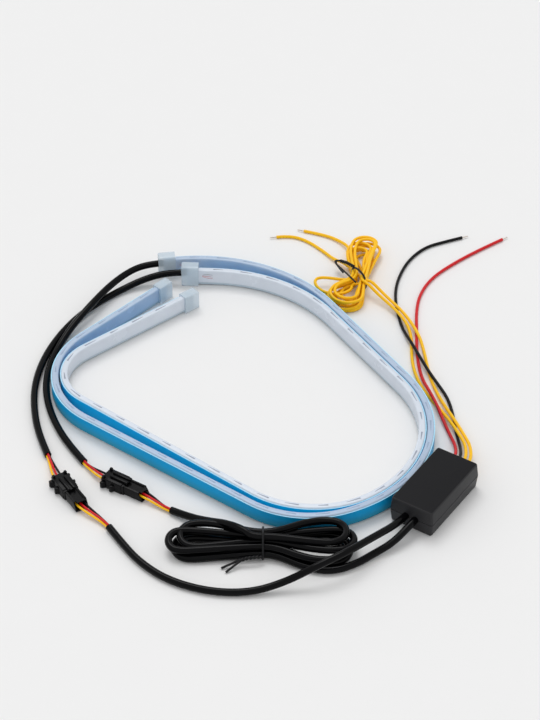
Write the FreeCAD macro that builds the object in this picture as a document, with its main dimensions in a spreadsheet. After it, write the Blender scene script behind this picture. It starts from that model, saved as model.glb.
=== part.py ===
"""Car light strip kit: two silicone LED strips, their leads and plugs, and one control box.

Millimetres and degrees, +Z up, the floor at z = 0. +X runs to the right and +Y away from
the viewer. The origin lies under the middle of the strips, end caps and control box.
"""
import FreeCAD, Part
import math
import os

import Sketcher

V = FreeCAD.Vector

# Driving sizes

SIZES = {
    # silicone sleeve, standing on its long edge
    "sleeve_thick": 3.6, "sleeve_tall": 10.0, "sleeve_edge": 0.5,
    "light_wall": 1.2, "back_wall": 0.6, "rim_wall": 1.2, "strip_lift": 0.6,
    # adhesive tape on the sleeve's back, with its blue film
    "tape_thick": 0.6, "tape_tall": 8.4, "tape_margin": 1.0, "nest_gap": 0.4,
    # lamp board inside the sleeve
    "board_thick": 0.3, "board_tall": 7.4, "board_gap": 0.08, "board_inset": 3.0,
    "led_long": 3.5, "led_tall": 2.8, "led_thick": 0.8, "led_pitch": 16.6,
    "chip_long": 2.2, "chip_tall": 1.3, "chip_thick": 0.5, "chip_drop": 3.2,
    # the bend that both strips share, seen from above
    "bend_x": 18.035, "bend_y": -35.477, "bend_radius": 74.8,
    # outer strip's line, from its cable end to its free end
    "outer_cable_straight": 8.0, "outer_back_radius": 90.0, "outer_back_angle": 65.5,
    "outer_back_straight": 78.3, "outer_bend_heading": -57.8, "outer_bend_angle": 102.4,
    "outer_front_tighter": 23.9, "outer_front_angle": 56.9, "outer_front_straight": 113.1,
    "outer_left_radius": 47.7, "outer_left_angle": 96.5, "outer_free_straight": 65.4,
    # inner strip's line
    "inner_cable_straight": 16.0, "inner_back_radius": 83.1, "inner_back_angle": 55.0,
    "inner_back_straight": 70.9, "inner_bend_heading": -57.8, "inner_bend_angle": 85.4,
    "inner_front_tighter": 18.3, "inner_front_angle": 75.8, "inner_front_straight": 121.4,
    "inner_left_radius": 28.9, "inner_left_angle": 101.6, "inner_free_straight": 75.6,
    # end caps
    "cap_wall": 1.4, "cap_grip": 6.5, "cap_end": 3.5, "cap_fit": 0.1, "cap_bevel": 0.7,
    "free_cap_roof": 0.8, "cable_cap_roof": 2.8, "lead_rise": 7.6, "lead_grip": 3.0,
    # cables and wires
    "cable_thick": 4.0, "core_thick": 1.25, "core_spread": 0.76, "core_run": 4.0, "core_entry": 5.0,
    "wire_thick": 1.8, "wire_fit": 0.1, "start_straight": 9.0,
    "tip_thick": 1.0, "tip_long": 4.5,
    # three-way plugs
    "socket_long": 13.0, "socket_wide": 9.0, "socket_tall": 6.4, "socket_round": 0.5,
    "nose_long": 7.0, "nose_wide": 6.8, "nose_tall": 4.2, "nose_fit": 0.1,
    "plug_long": 13.0, "plug_wide": 7.6, "plug_tall": 5.4, "plug_hollow": 5.0, "plug_wall": 0.7,
    "way_pitch": 2.1, "way_bore": 1.7, "core_depth": 2.0,
    "latch_long": 8.0, "latch_wide": 4.0, "latch_rise": 1.5, "latch_groove": 1.6,
    "ear_long": 5.0, "ear_reach": 1.7, "ear_tall": 4.0,
    "crimp_thick": 1.6, "crimp_long": 7.0, "pin_thick": 0.8, "pin_fit": 0.06,
    "socket_1_x": -107.2, "socket_1_y": -72.4, "socket_1_heading": -57.8,
    "socket_2_x": -82.0, "socket_2_y": -71.5, "socket_2_heading": -32.8,
    # control box
    "case_bearing": -35.29, "case_gap": 0.94, "case_heading": 56.6,
    "case_long": 49.0, "case_wide": 26.0, "case_tall": 16.0, "case_draft": 5.0,
    "case_wall": 1.5, "case_corner": 1.2, "case_bevel": 0.6,
    "cable_spread": 5.6, "wire_spread": 3.0,
    "post_thick": 3.0, "post_tall": 3.0, "circuit_long": 40.0, "circuit_wide": 19.0,
    "circuit_thick": 1.2, "post_inset": 2.5,
    "controller_chip_long": 6.2, "controller_chip_wide": 5.0, "controller_chip_tall": 1.6,
    "receiver_long": 10.0, "receiver_wide": 4.6, "receiver_tall": 3.2,
    "capacitor_thick": 5.0, "capacitor_tall": 6.2,
    "switch_long": 6.0, "switch_wide": 4.4, "switch_tall": 2.2, "switch_pitch": 6.2,
    # wire ties
    "tie_wide": 2.2, "tie_thick": 0.7, "tie_fit": 0.5, "tie_tail": 1.6,
    "black_waist_wide": 14.0, "black_waist_tall": 11.6, "black_waist_rise": 1.25,
    "black_waist_x": 2.0, "black_waist_y": -125.0, "black_heading": 0.0,
    "yellow_waist_wide": 10.0, "yellow_waist_tall": 6.8, "yellow_waist_rise": 1.25,
    "yellow_waist_x": 54.3, "yellow_waist_y": 107.0, "yellow_heading": 74.0,
}

# Routes of the cables and wires, as they lie: x, y and z of each bend. A route that leaves a cap
# or the control box lacks its first two points, which follow from that piece's place.
OUTER_LEAD = (
    (-76, 103.5, 7.6), (-87, 90, 7.6), (-98, 70.5, 7.4), (-109, 52.5, 4.2), (-116.5, 32.5, 2.1),
    (-119.8, 11.5, 2.1), (-117.5, -9.5, 2.1), (-110.5, -30.5, 2.1), (-101.5, -47.5, 2.1),
    (-94.3, -58.5, 2.2),
)
INNER_LEAD = (
    (-66, 100, 5), (-79, 94, 2.1), (-93, 81.5, 2.1), (-105.5, 66.5, 2.1), (-115.5, 48, 2.1),
    (-122.5, 27.5, 2.1), (-125.8, 4.5, 2.1), (-124, -18.5, 2.1), (-119.5, -38.5, 2.1),
    (-114.2, -52.9, 2.2),
)
CABLE_1 = (
    (58, -128, 11.8), (45, -141, 14.4), (30, -149, 12.5), (14, -153.5, 5.5), (-4, -158, 2.1),
    (-25, -157.5, 2.1), (-46, -149.5, 2.1), (-61, -136.5, 2.1), (-71, -122, 2.1),
    (-78.6, -109.4, 2.2),
)
CABLE_2_NEAR = ((69, -124, 4.4), (59.5, -129, 2.3), (49.3, -131.1, 3))
CABLE_2_FAR = (
    (-14.5, -113.6, 6.2), (-25, -108.5, 4.6), (-36, -102.5, 2.7), (-46.5, -96.5, 2.2),
)
RED_WIRE = (
    (106, -46.5, 3.6), (103.4, -34, 1), (99.8, -21.5, 2.6), (97.4, -11.5, 3.4), (94, -0.5, 3.4),
    (91, 10.5, 1.6), (89.2, 23.5, 1), (88.8, 39.5, 1), (89.5, 55.5, 1), (90, 72.5, 1),
    (92.5, 88.5, 1), (100, 104.5, 1), (114, 119, 1), (131, 133, 1), (144.5, 142.7, 1),
)
BLACK_WIRE = (
    (108.6, -47.5, 3.6), (107.2, -34.5, 1), (106.6, -20.5, 1), (104.4, -4.5, 1),
    (99.5, 6.5, 1.8), (95, 15, 3.4), (91, 26.5, 3.4), (86, 41.5, 3.4), (82.8, 52.5, 1.6),
    (80.4, 62.5, 1), (78.8, 76.5, 1), (78.4, 90.5, 1), (81, 105.5, 1), (87.5, 122, 1),
    (98, 135, 1), (110.5, 140.5, 1), (120.5, 144.5, 1),
)
YELLOW_WIRE_1 = (
    (114, -50.5, 6), (111, -38.5, 4.2), (107.2, -26.5, 3.4), (102.6, -14, 2.6), (98.6, -0.5, 1),
    (95, 14.5, 1), (93.6, 29.5, 1), (92.2, 41, 1.8), (90.4, 48.5, 3.4), (86.6, 60, 3.4),
    (81.6, 71, 3.4), (75.5, 81, 3.2), (69.5, 89.5, 2.8), (60.2, 100.9, 3),
)
YELLOW_WIRE_2 = (
    (111.4, -49.5, 6), (108.6, -38.5, 4.2), (104.8, -27.5, 3.4), (101, -17.5, 1.8),
    (94.4, -4, 1), (89.2, 7.5, 1), (86.2, 21.5, 1), (85.6, 35.5, 1), (86.4, 47.5, 1.4),
    (84.6, 58, 3.2), (79.8, 69, 3.4), (73.6, 79.3, 3.2), (67.4, 87.9, 2.8), (59.8, 96, 3),
)
YELLOW_END_1 = ((53.2, 131.3, 3.2), (47.5, 140.5, 1.4), (38.5, 147.1, 1), (26, 151.1, 1))
YELLOW_END_2 = (
    (49.6, 116.1, 3.7), (43.5, 122, 1.6), (36.5, 132, 1), (27, 141.9, 1), (17.6, 146.3, 1),
    (9.5, 145, 1),
)
BLACK_TIE_TAIL = (
    (2, -132.4, 6), (0, -134.9, 3), (-5, -136.1, 1.2), (-12, -137.1, 1), (-19.5, -140.1, 1),
)
YELLOW_TIE_TAIL = ((49, 108.5, 4.6), (45.5, 109.9, 3.4), (41, 113, 1.2), (37, 118, 1))

# Outer shapes of the two hanks along their length: place, sideways shift, rise, width and height.
# The waist at place 0 has the sizes above.
BLACK_HANK = (
    (-49, -1.5, 1, 10, 4), (-44, -1, 0.2, 22, 8), (-33, -0.5, 0.1, 26, 10), (-15, -0.5, 0.4, 17, 11.5),
    (15, -2, 0.4, 18, 11.5), (32, -4.5, 0.1, 30, 11), (42, -5.5, 0.2, 27, 9), (46.5, -6, 1, 12, 5),
)
YELLOW_HANK = (
    (-33, 0.5, 1, 8, 3.5), (-29, 1, 0.2, 18, 6), (-19, 1, 0.1, 23, 7), (-8, 0.5, 0.4, 14, 7.2),
    (8, -0.5, 0.4, 13, 7.2), (18, -1, 0.1, 18, 7), (28, -1, 0.2, 13, 6), (32, -1, 1, 6, 3.5),
)

doc = FreeCAD.newDocument("led_light_strip")
sheet = doc.addObject("Spreadsheet::Sheet", "Sizes")
for row, (alias, number) in enumerate(SIZES.items(), 1):
    sheet.set(f"A{row}", alias)
    sheet.set(f"B{row}", str(number))
    sheet.setAlias(f"B{row}", alias)
doc.recompute()
nodes = []


def size(alias):
    return float(sheet.get(alias))


# Helpers for bodies, sketches and features

def keep(piece, label):
    """Name a finished sub-part and list it for the export."""
    piece.Label = label
    nodes.append(piece)
    return piece


def place(piece, pose, height=0.0):
    """Stand a piece at a plan pose: x, y and heading."""
    x, y, heading = pose
    piece.Placement = FreeCAD.Placement(V(x, y, height), FreeCAD.Rotation(V(0, 0, 1), heading))


def new_sketch(body, role, name, offset=None):
    """Sketch on one of the body's own origin planes, moved along its normal if asked."""
    sketch = body.newObject("Sketcher::SketchObject", f"{body.Name}_{name}")
    sketch.AttachmentSupport = [(next(f for f in body.Origin.OriginFeatures if f.Role == role), "")]
    sketch.MapMode = "FlatFace"
    if offset:
        sketch.setExpression("AttachmentOffset.Base.z", offset)
    return sketch


def bind(sketch, kind, geometry, point, name, expression, start):
    index = sketch.addConstraint(Sketcher.Constraint(kind, geometry, point, start))
    sketch.renameConstraint(index, name)
    sketch.setExpression("Constraints." + name, expression)


def rectangle(sketch, name, left, right, low, high):
    """Rectangle between four expressions."""
    corners = [V(-1, -1, 0), V(1, -1, 0), V(1, 1, 0), V(-1, 1, 0)]
    sides = [
        sketch.addGeometry(Part.LineSegment(a, b), False)
        for a, b in zip(corners, corners[1:] + corners[:1])
    ]
    for side, after in zip(sides, sides[1:] + sides[:1]):
        sketch.addConstraint(Sketcher.Constraint("Coincident", side, 2, after, 1))
    for side, direction in zip(sides, ("Horizontal", "Vertical") * 2):
        sketch.addConstraint(Sketcher.Constraint(direction, side))
    bind(sketch, "DistanceX", sides[0], 1, name + "_left", left, -1)
    bind(sketch, "DistanceX", sides[1], 1, name + "_right", right, 1)
    bind(sketch, "DistanceY", sides[0], 1, name + "_low", low, -1)
    bind(sketch, "DistanceY", sides[2], 1, name + "_high", high, 1)


def cut_rectangle(sketch, name, left, right, low, high, cut):
    """Rectangle between four expressions, with its corners cut off at 45 degrees."""
    ends = [
        ((-0.8, -1), (0.8, -1)), ((1, -0.8), (1, 0.8)),
        ((0.8, 1), (-0.8, 1)), ((-1, 0.8), (-1, -0.8)),
    ]
    spans = [
        (low, f"{left} + {cut}", f"{right} - {cut}"), (right, f"{low} + {cut}", f"{high} - {cut}"),
        (high, f"{right} - {cut}", f"{left} + {cut}"), (left, f"{high} - {cut}", f"{low} + {cut}"),
    ]
    sides = [sketch.addGeometry(Part.LineSegment(V(*a, 0), V(*b, 0)), False) for a, b in ends]
    for number, side in enumerate(sides):
        after = (number + 1) % 4
        corner = sketch.addGeometry(Part.LineSegment(V(*ends[number][1], 0), V(*ends[after][0], 0)), False)
        sketch.addConstraint(Sketcher.Constraint("Coincident", side, 2, corner, 1))
        sketch.addConstraint(Sketcher.Constraint("Coincident", corner, 2, sides[after], 1))
    for number, (side, (level, first, last)) in enumerate(zip(sides, spans)):
        level_kind, span_kind = (("DistanceY", "DistanceX"), ("DistanceX", "DistanceY"))[number % 2]
        sketch.addConstraint(Sketcher.Constraint(("Horizontal", "Vertical")[number % 2], side))
        bind(sketch, level_kind, side, 1, f"{name}_level_{number}", level, ends[number][0][1 - number % 2])
        bind(sketch, span_kind, side, 1, f"{name}_first_{number}", first, ends[number][0][number % 2])
        bind(sketch, span_kind, side, 2, f"{name}_last_{number}", last, ends[number][1][number % 2])


def circle(sketch, name, x, y, diameter):
    ring = sketch.addGeometry(Part.Circle(V(0.1, 0.1, 0), V(0, 0, 1), 1), False)
    bind(sketch, "DistanceX", ring, 3, name + "_x", x, 0.1)
    bind(sketch, "DistanceY", ring, 3, name + "_y", y, 0.1)
    index = sketch.addConstraint(Sketcher.Constraint("Diameter", ring, 2))
    sketch.renameConstraint(index, name + "_diameter")
    sketch.setExpression(f"Constraints.{name}_diameter", diameter)


def pad(body, sketch, length, backwards=False, taper=None):
    feature = body.newObject("PartDesign::Pad", sketch.Name + "_pad")
    feature.Profile = sketch
    feature.Reversed = backwards
    feature.setExpression("Length", length)
    if taper:
        feature.setExpression("TaperAngle", taper)
    doc.recompute()
    return feature


def pocket(body, sketch, length, forwards=False, taper=None):
    """Cut against the sketch's normal, or along it; the solid has to lose volume."""
    before = body.Shape.Volume
    feature = body.newObject("PartDesign::Pocket", sketch.Name + "_pocket")
    feature.Profile = sketch
    feature.Reversed = forwards
    feature.setExpression("Length", length)
    if taper:
        feature.setExpression("TaperAngle", taper)
    doc.recompute()
    if body.Shape.Volume > before - 1e-6:
        raise RuntimeError(f"{feature.Name} cuts nothing")
    return feature


def edges_of(feature, chosen):
    """Names of a feature's edges that a test chooses."""
    return [f"Edge{number}" for number, edge in enumerate(feature.Shape.Edges, 1) if chosen(edge)]


def fillet(body, feature, radius, chosen):
    rounding = body.newObject("PartDesign::Fillet", feature.Name + "_round")
    rounding.Base = (feature, edges_of(feature, chosen))
    rounding.setExpression("Radius", radius)
    doc.recompute()
    return rounding


def bevel(body, feature, width, chosen):
    slope = body.newObject("PartDesign::Chamfer", feature.Name + "_bevel")
    slope.Base = (feature, edges_of(feature, chosen))
    slope.setExpression("Size", width)
    doc.recompute()
    return slope


def upright(edge):
    first, last = edge.Vertexes[0].Point, edge.Vertexes[-1].Point
    return abs(first.z - last.z) > 1


# The strips' lines

def walk(pose, length, turn=0.0):
    """Pose after a stretch of a length that turns clockwise by an angle."""
    x, y, heading = pose
    half = math.radians(turn) / 2
    chord = length * math.sin(half) / half if turn else length
    direction = math.radians(heading) - half
    return x + chord * math.cos(direction), y + chord * math.sin(direction), heading - turn


def bend_radius(side):
    """The inner strip nests inside the outer one on the bend that they share."""
    nest = size("sleeve_thick") + size("tape_thick") + size("nest_gap")
    return size("bend_radius") - (nest if side == "inner" else 0)


def stretches(side):
    """Length and clockwise turn of each stretch, from the cable end to the free end."""
    def straight(name):
        return size(f"{side}_{name}_straight"), 0.0

    def arc(radius, name):
        turn = size(f"{side}_{name}_angle")
        return radius * math.radians(turn), turn

    shared = bend_radius(side)
    return [
        straight("cable"), arc(size(side + "_back_radius"), "back"), straight("back"),
        arc(shared, "bend"), arc(shared - size(side + "_front_tighter"), "front"), straight("front"),
        arc(size(side + "_left_radius"), "left"), straight("free"),
    ]


def cable_end(side):
    """Pose of the cable end, walking back from the start of the shared bend."""
    heading = size(side + "_bend_heading")
    radius, angle = bend_radius(side), math.radians(heading)
    x, y = size("bend_x") - radius * math.sin(angle), size("bend_y") + radius * math.cos(angle)
    pose = (x, y, heading + 180)
    for length, turn in reversed(stretches(side)[:3]):
        pose = walk(pose, length, -turn)
    return pose[0], pose[1], pose[2] - 180


def pose_at(side, distance):
    """Pose at a distance from the cable end."""
    pose = cable_end(side)
    for length, turn in stretches(side):
        part = min(distance, length)
        pose = walk(pose, part, turn * part / length)
        distance -= part
    return pose


def strip_length(side):
    return sum(length for length, turn in stretches(side))


def swept_band(side, name, inset, draw_section):
    """Body swept along a strip's line, with both ends set in by the same length."""
    body = doc.addObject("PartDesign::Body", f"{side}_{name}")
    path = new_sketch(body, "XY_Plane", "path")
    pose, last = (0, 0, 0), len(stretches(side)) - 1
    for number, (length, turn) in enumerate(stretches(side)):
        length -= inset if number in (0, last) else 0
        middle, end = walk(pose, length / 2, turn / 2), walk(pose, length, turn)
        a, m, b = (V(p[0], p[1], 0) for p in (pose, middle, end))
        path.addGeometry(Part.Arc(a, m, b) if turn else Part.LineSegment(a, b), False)
        pose = end
    section = new_sketch(body, "YZ_Plane", "section")
    draw_section(section)
    sweep = body.newObject("PartDesign::AdditivePipe", f"{side}_{name}_sweep")
    sweep.Profile = section
    sweep.Spine = path
    doc.recompute()
    place(body, pose_at(side, inset))
    return keep(body, f"{side}_{name}")


# Sections across a strip: y runs from the light side to the back, z from the floor up
SLEEVE_LIGHT = "-Sizes.sleeve_thick / 2"
SLEEVE_BACK = "Sizes.sleeve_thick / 2"
SLEEVE_LOW = "Sizes.strip_lift"
SLEEVE_HIGH = "Sizes.strip_lift + Sizes.sleeve_tall"
STRIP_MIDDLE = "Sizes.strip_lift + Sizes.sleeve_tall / 2"
BOARD_BACK = f"{SLEEVE_BACK} - Sizes.back_wall - Sizes.board_gap"
BOARD_LOW = f"{SLEEVE_LOW} + Sizes.rim_wall + Sizes.board_gap"


def sleeve_section(sketch):
    cut_rectangle(sketch, "skin", SLEEVE_LIGHT, SLEEVE_BACK, SLEEVE_LOW, SLEEVE_HIGH, "Sizes.sleeve_edge")
    rectangle(
        sketch, "channel", f"{SLEEVE_LIGHT} + Sizes.light_wall", f"{SLEEVE_BACK} - Sizes.back_wall",
        f"{SLEEVE_LOW} + Sizes.rim_wall", f"{SLEEVE_HIGH} - Sizes.rim_wall",
    )


def tape_section(sketch):
    rectangle(
        sketch, "tape", SLEEVE_BACK, f"{SLEEVE_BACK} + Sizes.tape_thick",
        f"{STRIP_MIDDLE} - Sizes.tape_tall / 2", f"{STRIP_MIDDLE} + Sizes.tape_tall / 2",
    )


def board_section(sketch):
    rectangle(
        sketch, "board", f"{BOARD_BACK} - Sizes.board_thick", BOARD_BACK,
        BOARD_LOW, f"{BOARD_LOW} + Sizes.board_tall",
    )


def board_blocks(side, name, long, tall, thick, middle, first, pitch):
    """Row of small blocks soldered to the light side of a strip's board."""
    face = size("sleeve_thick") / 2 - size("back_wall") - 2 * size("board_gap") - size("board_thick")
    blocks = []
    distance = first
    while distance < strip_length(side) - size("board_inset") - long:
        block = Part.makeBox(long, thick, tall, V(-long / 2, face - thick, middle - tall / 2))
        x, y, heading = pose_at(side, distance)
        block.Placement = FreeCAD.Placement(V(x, y, 0), FreeCAD.Rotation(V(0, 0, 1), heading))
        blocks.append(block)
        distance += pitch
    group = doc.addObject("Part::Feature", f"{side}_{name}")
    group.Shape = Part.makeCompound(blocks)
    keep(group, f"{side}_{name}")


def end_cap(side, name, pose, roof, lead=False):
    """Moulded cap over a strip's end: local x runs outwards from the cap's mouth."""
    body = doc.addObject("PartDesign::Body", f"{side}_{name}")
    block = new_sketch(body, "YZ_Plane", "block")
    half = "Sizes.sleeve_thick / 2 + Sizes.cap_wall"
    top = f"{SLEEVE_HIGH} + Sizes.{roof}"
    rectangle(block, "block", f"-({half})", half, "0", top)
    solid = pad(body, block, "Sizes.cap_grip + Sizes.cap_end")
    bevel(body, solid, "Sizes.cap_bevel", lambda edge: edge.CenterOfMass.x > 0.1)
    mouth = new_sketch(body, "YZ_Plane", "mouth")
    rectangle(
        mouth, "mouth", f"{SLEEVE_LIGHT} - Sizes.cap_fit", f"{SLEEVE_BACK} + Sizes.cap_fit",
        f"{SLEEVE_LOW} - Sizes.cap_fit", f"{SLEEVE_HIGH} + Sizes.cap_fit",
    )
    pocket(body, mouth, "Sizes.cap_grip", forwards=True)
    if lead:
        bore = new_sketch(body, "YZ_Plane", "bore", "Sizes.cap_grip + Sizes.cap_end")
        circle(bore, "lead", "0", "Sizes.lead_rise", "Sizes.cable_thick + 2 * Sizes.wire_fit")
        pocket(body, bore, "Sizes.lead_grip")
    place(body, pose)
    keep(body, f"{side}_{name}")


def cap_start(side):
    """First two points of a strip's lead, from the bottom of its bore in the cap."""
    x, y, heading = cable_end(side)
    angle = math.radians(heading)
    near = size("cap_end") - size("lead_grip")
    points = []
    for reach in (near, near + size("start_straight")):
        points.append((x - reach * math.cos(angle), y - reach * math.sin(angle), size("lead_rise")))
    return tuple(points)


def build_strip(side):
    swept_band(side, "sleeve", 0.0, sleeve_section)
    swept_band(side, "tape", size("cap_grip") + size("tape_margin"), tape_section)
    swept_band(side, "lamp_board", size("board_inset"), board_section)
    middle = size("strip_lift") + size("sleeve_tall") / 2
    pitch = size("led_pitch")
    board_blocks(
        side, "leds", size("led_long"), size("led_tall"), size("led_thick"),
        middle, size("board_inset") + pitch / 2, pitch,
    )
    board_blocks(
        side, "driver_chips", size("chip_long"), size("chip_tall"), size("chip_thick"),
        middle + size("sleeve_tall") / 2 - size("chip_drop"), size("board_inset") + pitch, 2 * pitch,
    )
    grip = size("cap_grip")
    x, y, heading = pose_at(side, grip)
    end_cap(side, "cable_cap", (x, y, heading + 180), "cable_cap_roof", lead=True)
    end_cap(side, "end_cap", pose_at(side, strip_length(side) - grip), "free_cap_roof")


# Cables and wires

def rounded_line(points):
    """Straight runs joined by the largest arcs that they leave room for, and the arcs' radii."""
    points = [V(*point) for point in points]
    edges, radii, last = [], [], points[0]
    for before, corner, after in zip(points, points[1:], points[2:]):
        inwards, outwards = corner - before, after - corner
        cut = 0.45 * min(inwards.Length, outwards.Length)
        inwards.normalize()
        outwards.normalize()
        half = inwards.getAngle(outwards) / 2
        radius = cut / math.tan(half)
        start, end = corner - inwards * cut, corner + outwards * cut
        to_centre = outwards - inwards
        to_centre.normalize()
        middle = corner + to_centre * (radius / math.cos(half) - radius)
        edges += [Part.LineSegment(last, start).toShape(), Part.Arc(start, middle, end).toShape()]
        radii.append(radius)
        last = end
    edges.append(Part.LineSegment(last, points[-1]).toShape())
    return Part.Wire(edges), radii


def tube_shape(points, thick):
    """Round tube along a route; its volume has to be its section times its length."""
    line, radii = rounded_line(points)
    first = line.Edges[0]
    start = first.valueAt(first.FirstParameter)
    ring = Part.Circle(start, first.tangentAt(first.FirstParameter), thick / 2)
    shape = line.makePipe(Part.Face(Part.Wire(ring.toShape())))
    expected = math.pi * thick ** 2 / 4 * line.Length
    if abs(shape.Volume - expected) > 0.001 * expected:
        raise RuntimeError("a tube crosses itself")
    return shape, line.Length, radii


def tube(label, points, thick):
    shape, length, radii = tube_shape(points, thick)
    print(f"{label}: {length:.1f} mm long, radii", " ".join(f"{radius:.0f}" for radius in radii))
    piece = doc.addObject("Part::Feature", label)
    piece.Shape = shape
    return keep(piece, label)


def hank(label, prefix, sections):
    """One closed solid of a tied hank's outer shape, lofted through upright ovals."""
    waist = (0, 0) + tuple(size(f"{prefix}_waist_{part}") for part in ("rise", "wide", "tall"))
    corners, rings = 16, []
    for along, aside, rise, wide, tall in sorted(sections + (waist,)):
        ring = []
        for corner in range(corners + 1):
            angle = 2 * math.pi * (corner % corners) / corners
            height = rise + tall / 2 * (1 + math.sin(angle))
            ring.append(V(along, aside + wide / 2 * math.cos(angle), height))
        rings.append(Part.makePolygon(ring))
    piece = doc.addObject("Part::Feature", label)
    piece.Shape = Part.makeLoft(rings, True, True)
    place(piece, tuple(size(prefix + part) for part in ("_waist_x", "_waist_y", "_heading")))
    return keep(piece, label)


def wire_tips(label, routes):
    """Tinned copper ends, one at the end of each route."""
    tips = []
    for route in routes:
        before, end = V(*route[-2]), V(*route[-1])
        tips.append(Part.makeCylinder(size("tip_thick") / 2, size("tip_long"), end, end - before))
    group = doc.addObject("Part::Feature", label)
    group.Shape = Part.makeCompound(tips)
    keep(group, label)


def wire_tie(label, prefix, tail):
    """Wire tie: a band round a hank's waist with its ends twisted into a tail."""
    fit, thick, wide = size("tie_fit"), size("tie_thick"), size("tie_wide")
    half_wide, half_tall = size(prefix + "_waist_wide") / 2 + fit, size(prefix + "_waist_tall") / 2 + fit
    height = size(prefix + "_waist_rise") + size(prefix + "_waist_tall") / 2
    middle = V(size(prefix + "_waist_x"), size(prefix + "_waist_y"), height)
    angle = math.radians(size(prefix + "_heading"))
    along = V(math.cos(angle), math.sin(angle), 0)
    aside = V(-along.y, along.x, 0)

    def oval(reach):
        line = Part.Ellipse(
            middle + aside * (half_wide + reach), middle + V(0, 0, half_tall + reach), middle)
        wire = Part.Wire(line.toShape())
        wire.translate(along * (-wide / 2))
        return Part.Face(wire).extrude(along * wide)

    band = oval(thick).cut(oval(0))
    strand = tube_shape(tail, size("tie_tail"))[0]
    piece = doc.addObject("Part::Feature", label)
    piece.Shape = band.fuse(strand).removeSplitter()
    keep(piece, label)


# Three-way plugs

def plug_pose(number):
    return tuple(size(f"socket_{number}_{part}") for part in ("x", "y", "heading"))


WAY_HEIGHT = "Sizes.socket_tall / 2"
WAYS = ("-Sizes.way_pitch", "0", "Sizes.way_pitch")


def socket_housing(number):
    """Lead's half: local x runs from the wires' side to the other half."""
    body = doc.addObject("PartDesign::Body", f"socket_{number}")
    block = new_sketch(body, "YZ_Plane", "block")
    rectangle(block, "block", "-Sizes.socket_wide / 2", "Sizes.socket_wide / 2", "0", "Sizes.socket_tall")
    solid = pad(body, block, "Sizes.socket_long")
    middle = size("socket_long") / 2
    fillet(body, solid, "Sizes.socket_round", lambda edge: abs(edge.CenterOfMass.x - middle) < 0.1)
    latch = new_sketch(body, "XY_Plane", "latch", "Sizes.socket_tall")
    rectangle(
        latch, "latch", "Sizes.socket_long - Sizes.latch_long", "Sizes.socket_long",
        "-Sizes.latch_wide / 2", "Sizes.latch_wide / 2",
    )
    pad(body, latch, "Sizes.latch_rise")
    groove = new_sketch(body, "XY_Plane", "groove", "Sizes.socket_tall + Sizes.latch_rise")
    rectangle(
        groove, "groove", "Sizes.socket_long - Sizes.latch_long / 2", "Sizes.socket_long",
        "-Sizes.latch_groove / 2", "Sizes.latch_groove / 2",
    )
    pocket(body, groove, "Sizes.latch_rise / 2")
    ears = new_sketch(body, "XY_Plane", "ears", "(Sizes.socket_tall - Sizes.ear_tall) / 2")
    for name, low, high in (
        ("left_ear", "Sizes.socket_wide / 2", "Sizes.socket_wide / 2 + Sizes.ear_reach"),
        ("right_ear", "-Sizes.socket_wide / 2 - Sizes.ear_reach", "-Sizes.socket_wide / 2"),
    ):
        rectangle(ears, name, "Sizes.socket_round", "Sizes.socket_round + Sizes.ear_long", low, high)
    ear_pad = pad(body, ears, "Sizes.ear_tall")
    reach = size("socket_wide") / 2 + size("ear_reach")

    def ear_tip(edge):
        at = edge.CenterOfMass
        return upright(edge) and abs(abs(at.y) - reach) < 0.1 and at.x > size("ear_long") / 2

    bevel(body, ear_pad, "Sizes.ear_reach * 0.9", ear_tip)
    cavity = new_sketch(body, "YZ_Plane", "cavity", "Sizes.socket_long")
    reach = "Sizes.nose_wide / 2 + Sizes.nose_fit"
    rise = "Sizes.nose_tall / 2 + Sizes.nose_fit"
    rectangle(cavity, "cavity", f"-({reach})", reach, f"{WAY_HEIGHT} - ({rise})", f"{WAY_HEIGHT} + {rise}")
    pocket(body, cavity, "Sizes.nose_long + Sizes.nose_fit")
    bores = new_sketch(body, "YZ_Plane", "ways")
    for way, y in enumerate(WAYS):
        circle(bores, f"way_{way}", y, WAY_HEIGHT, "Sizes.way_bore")
    pocket(body, bores, "Sizes.socket_long - Sizes.nose_long", forwards=True)
    place(body, plug_pose(number))
    keep(body, f"socket_{number}")


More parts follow.
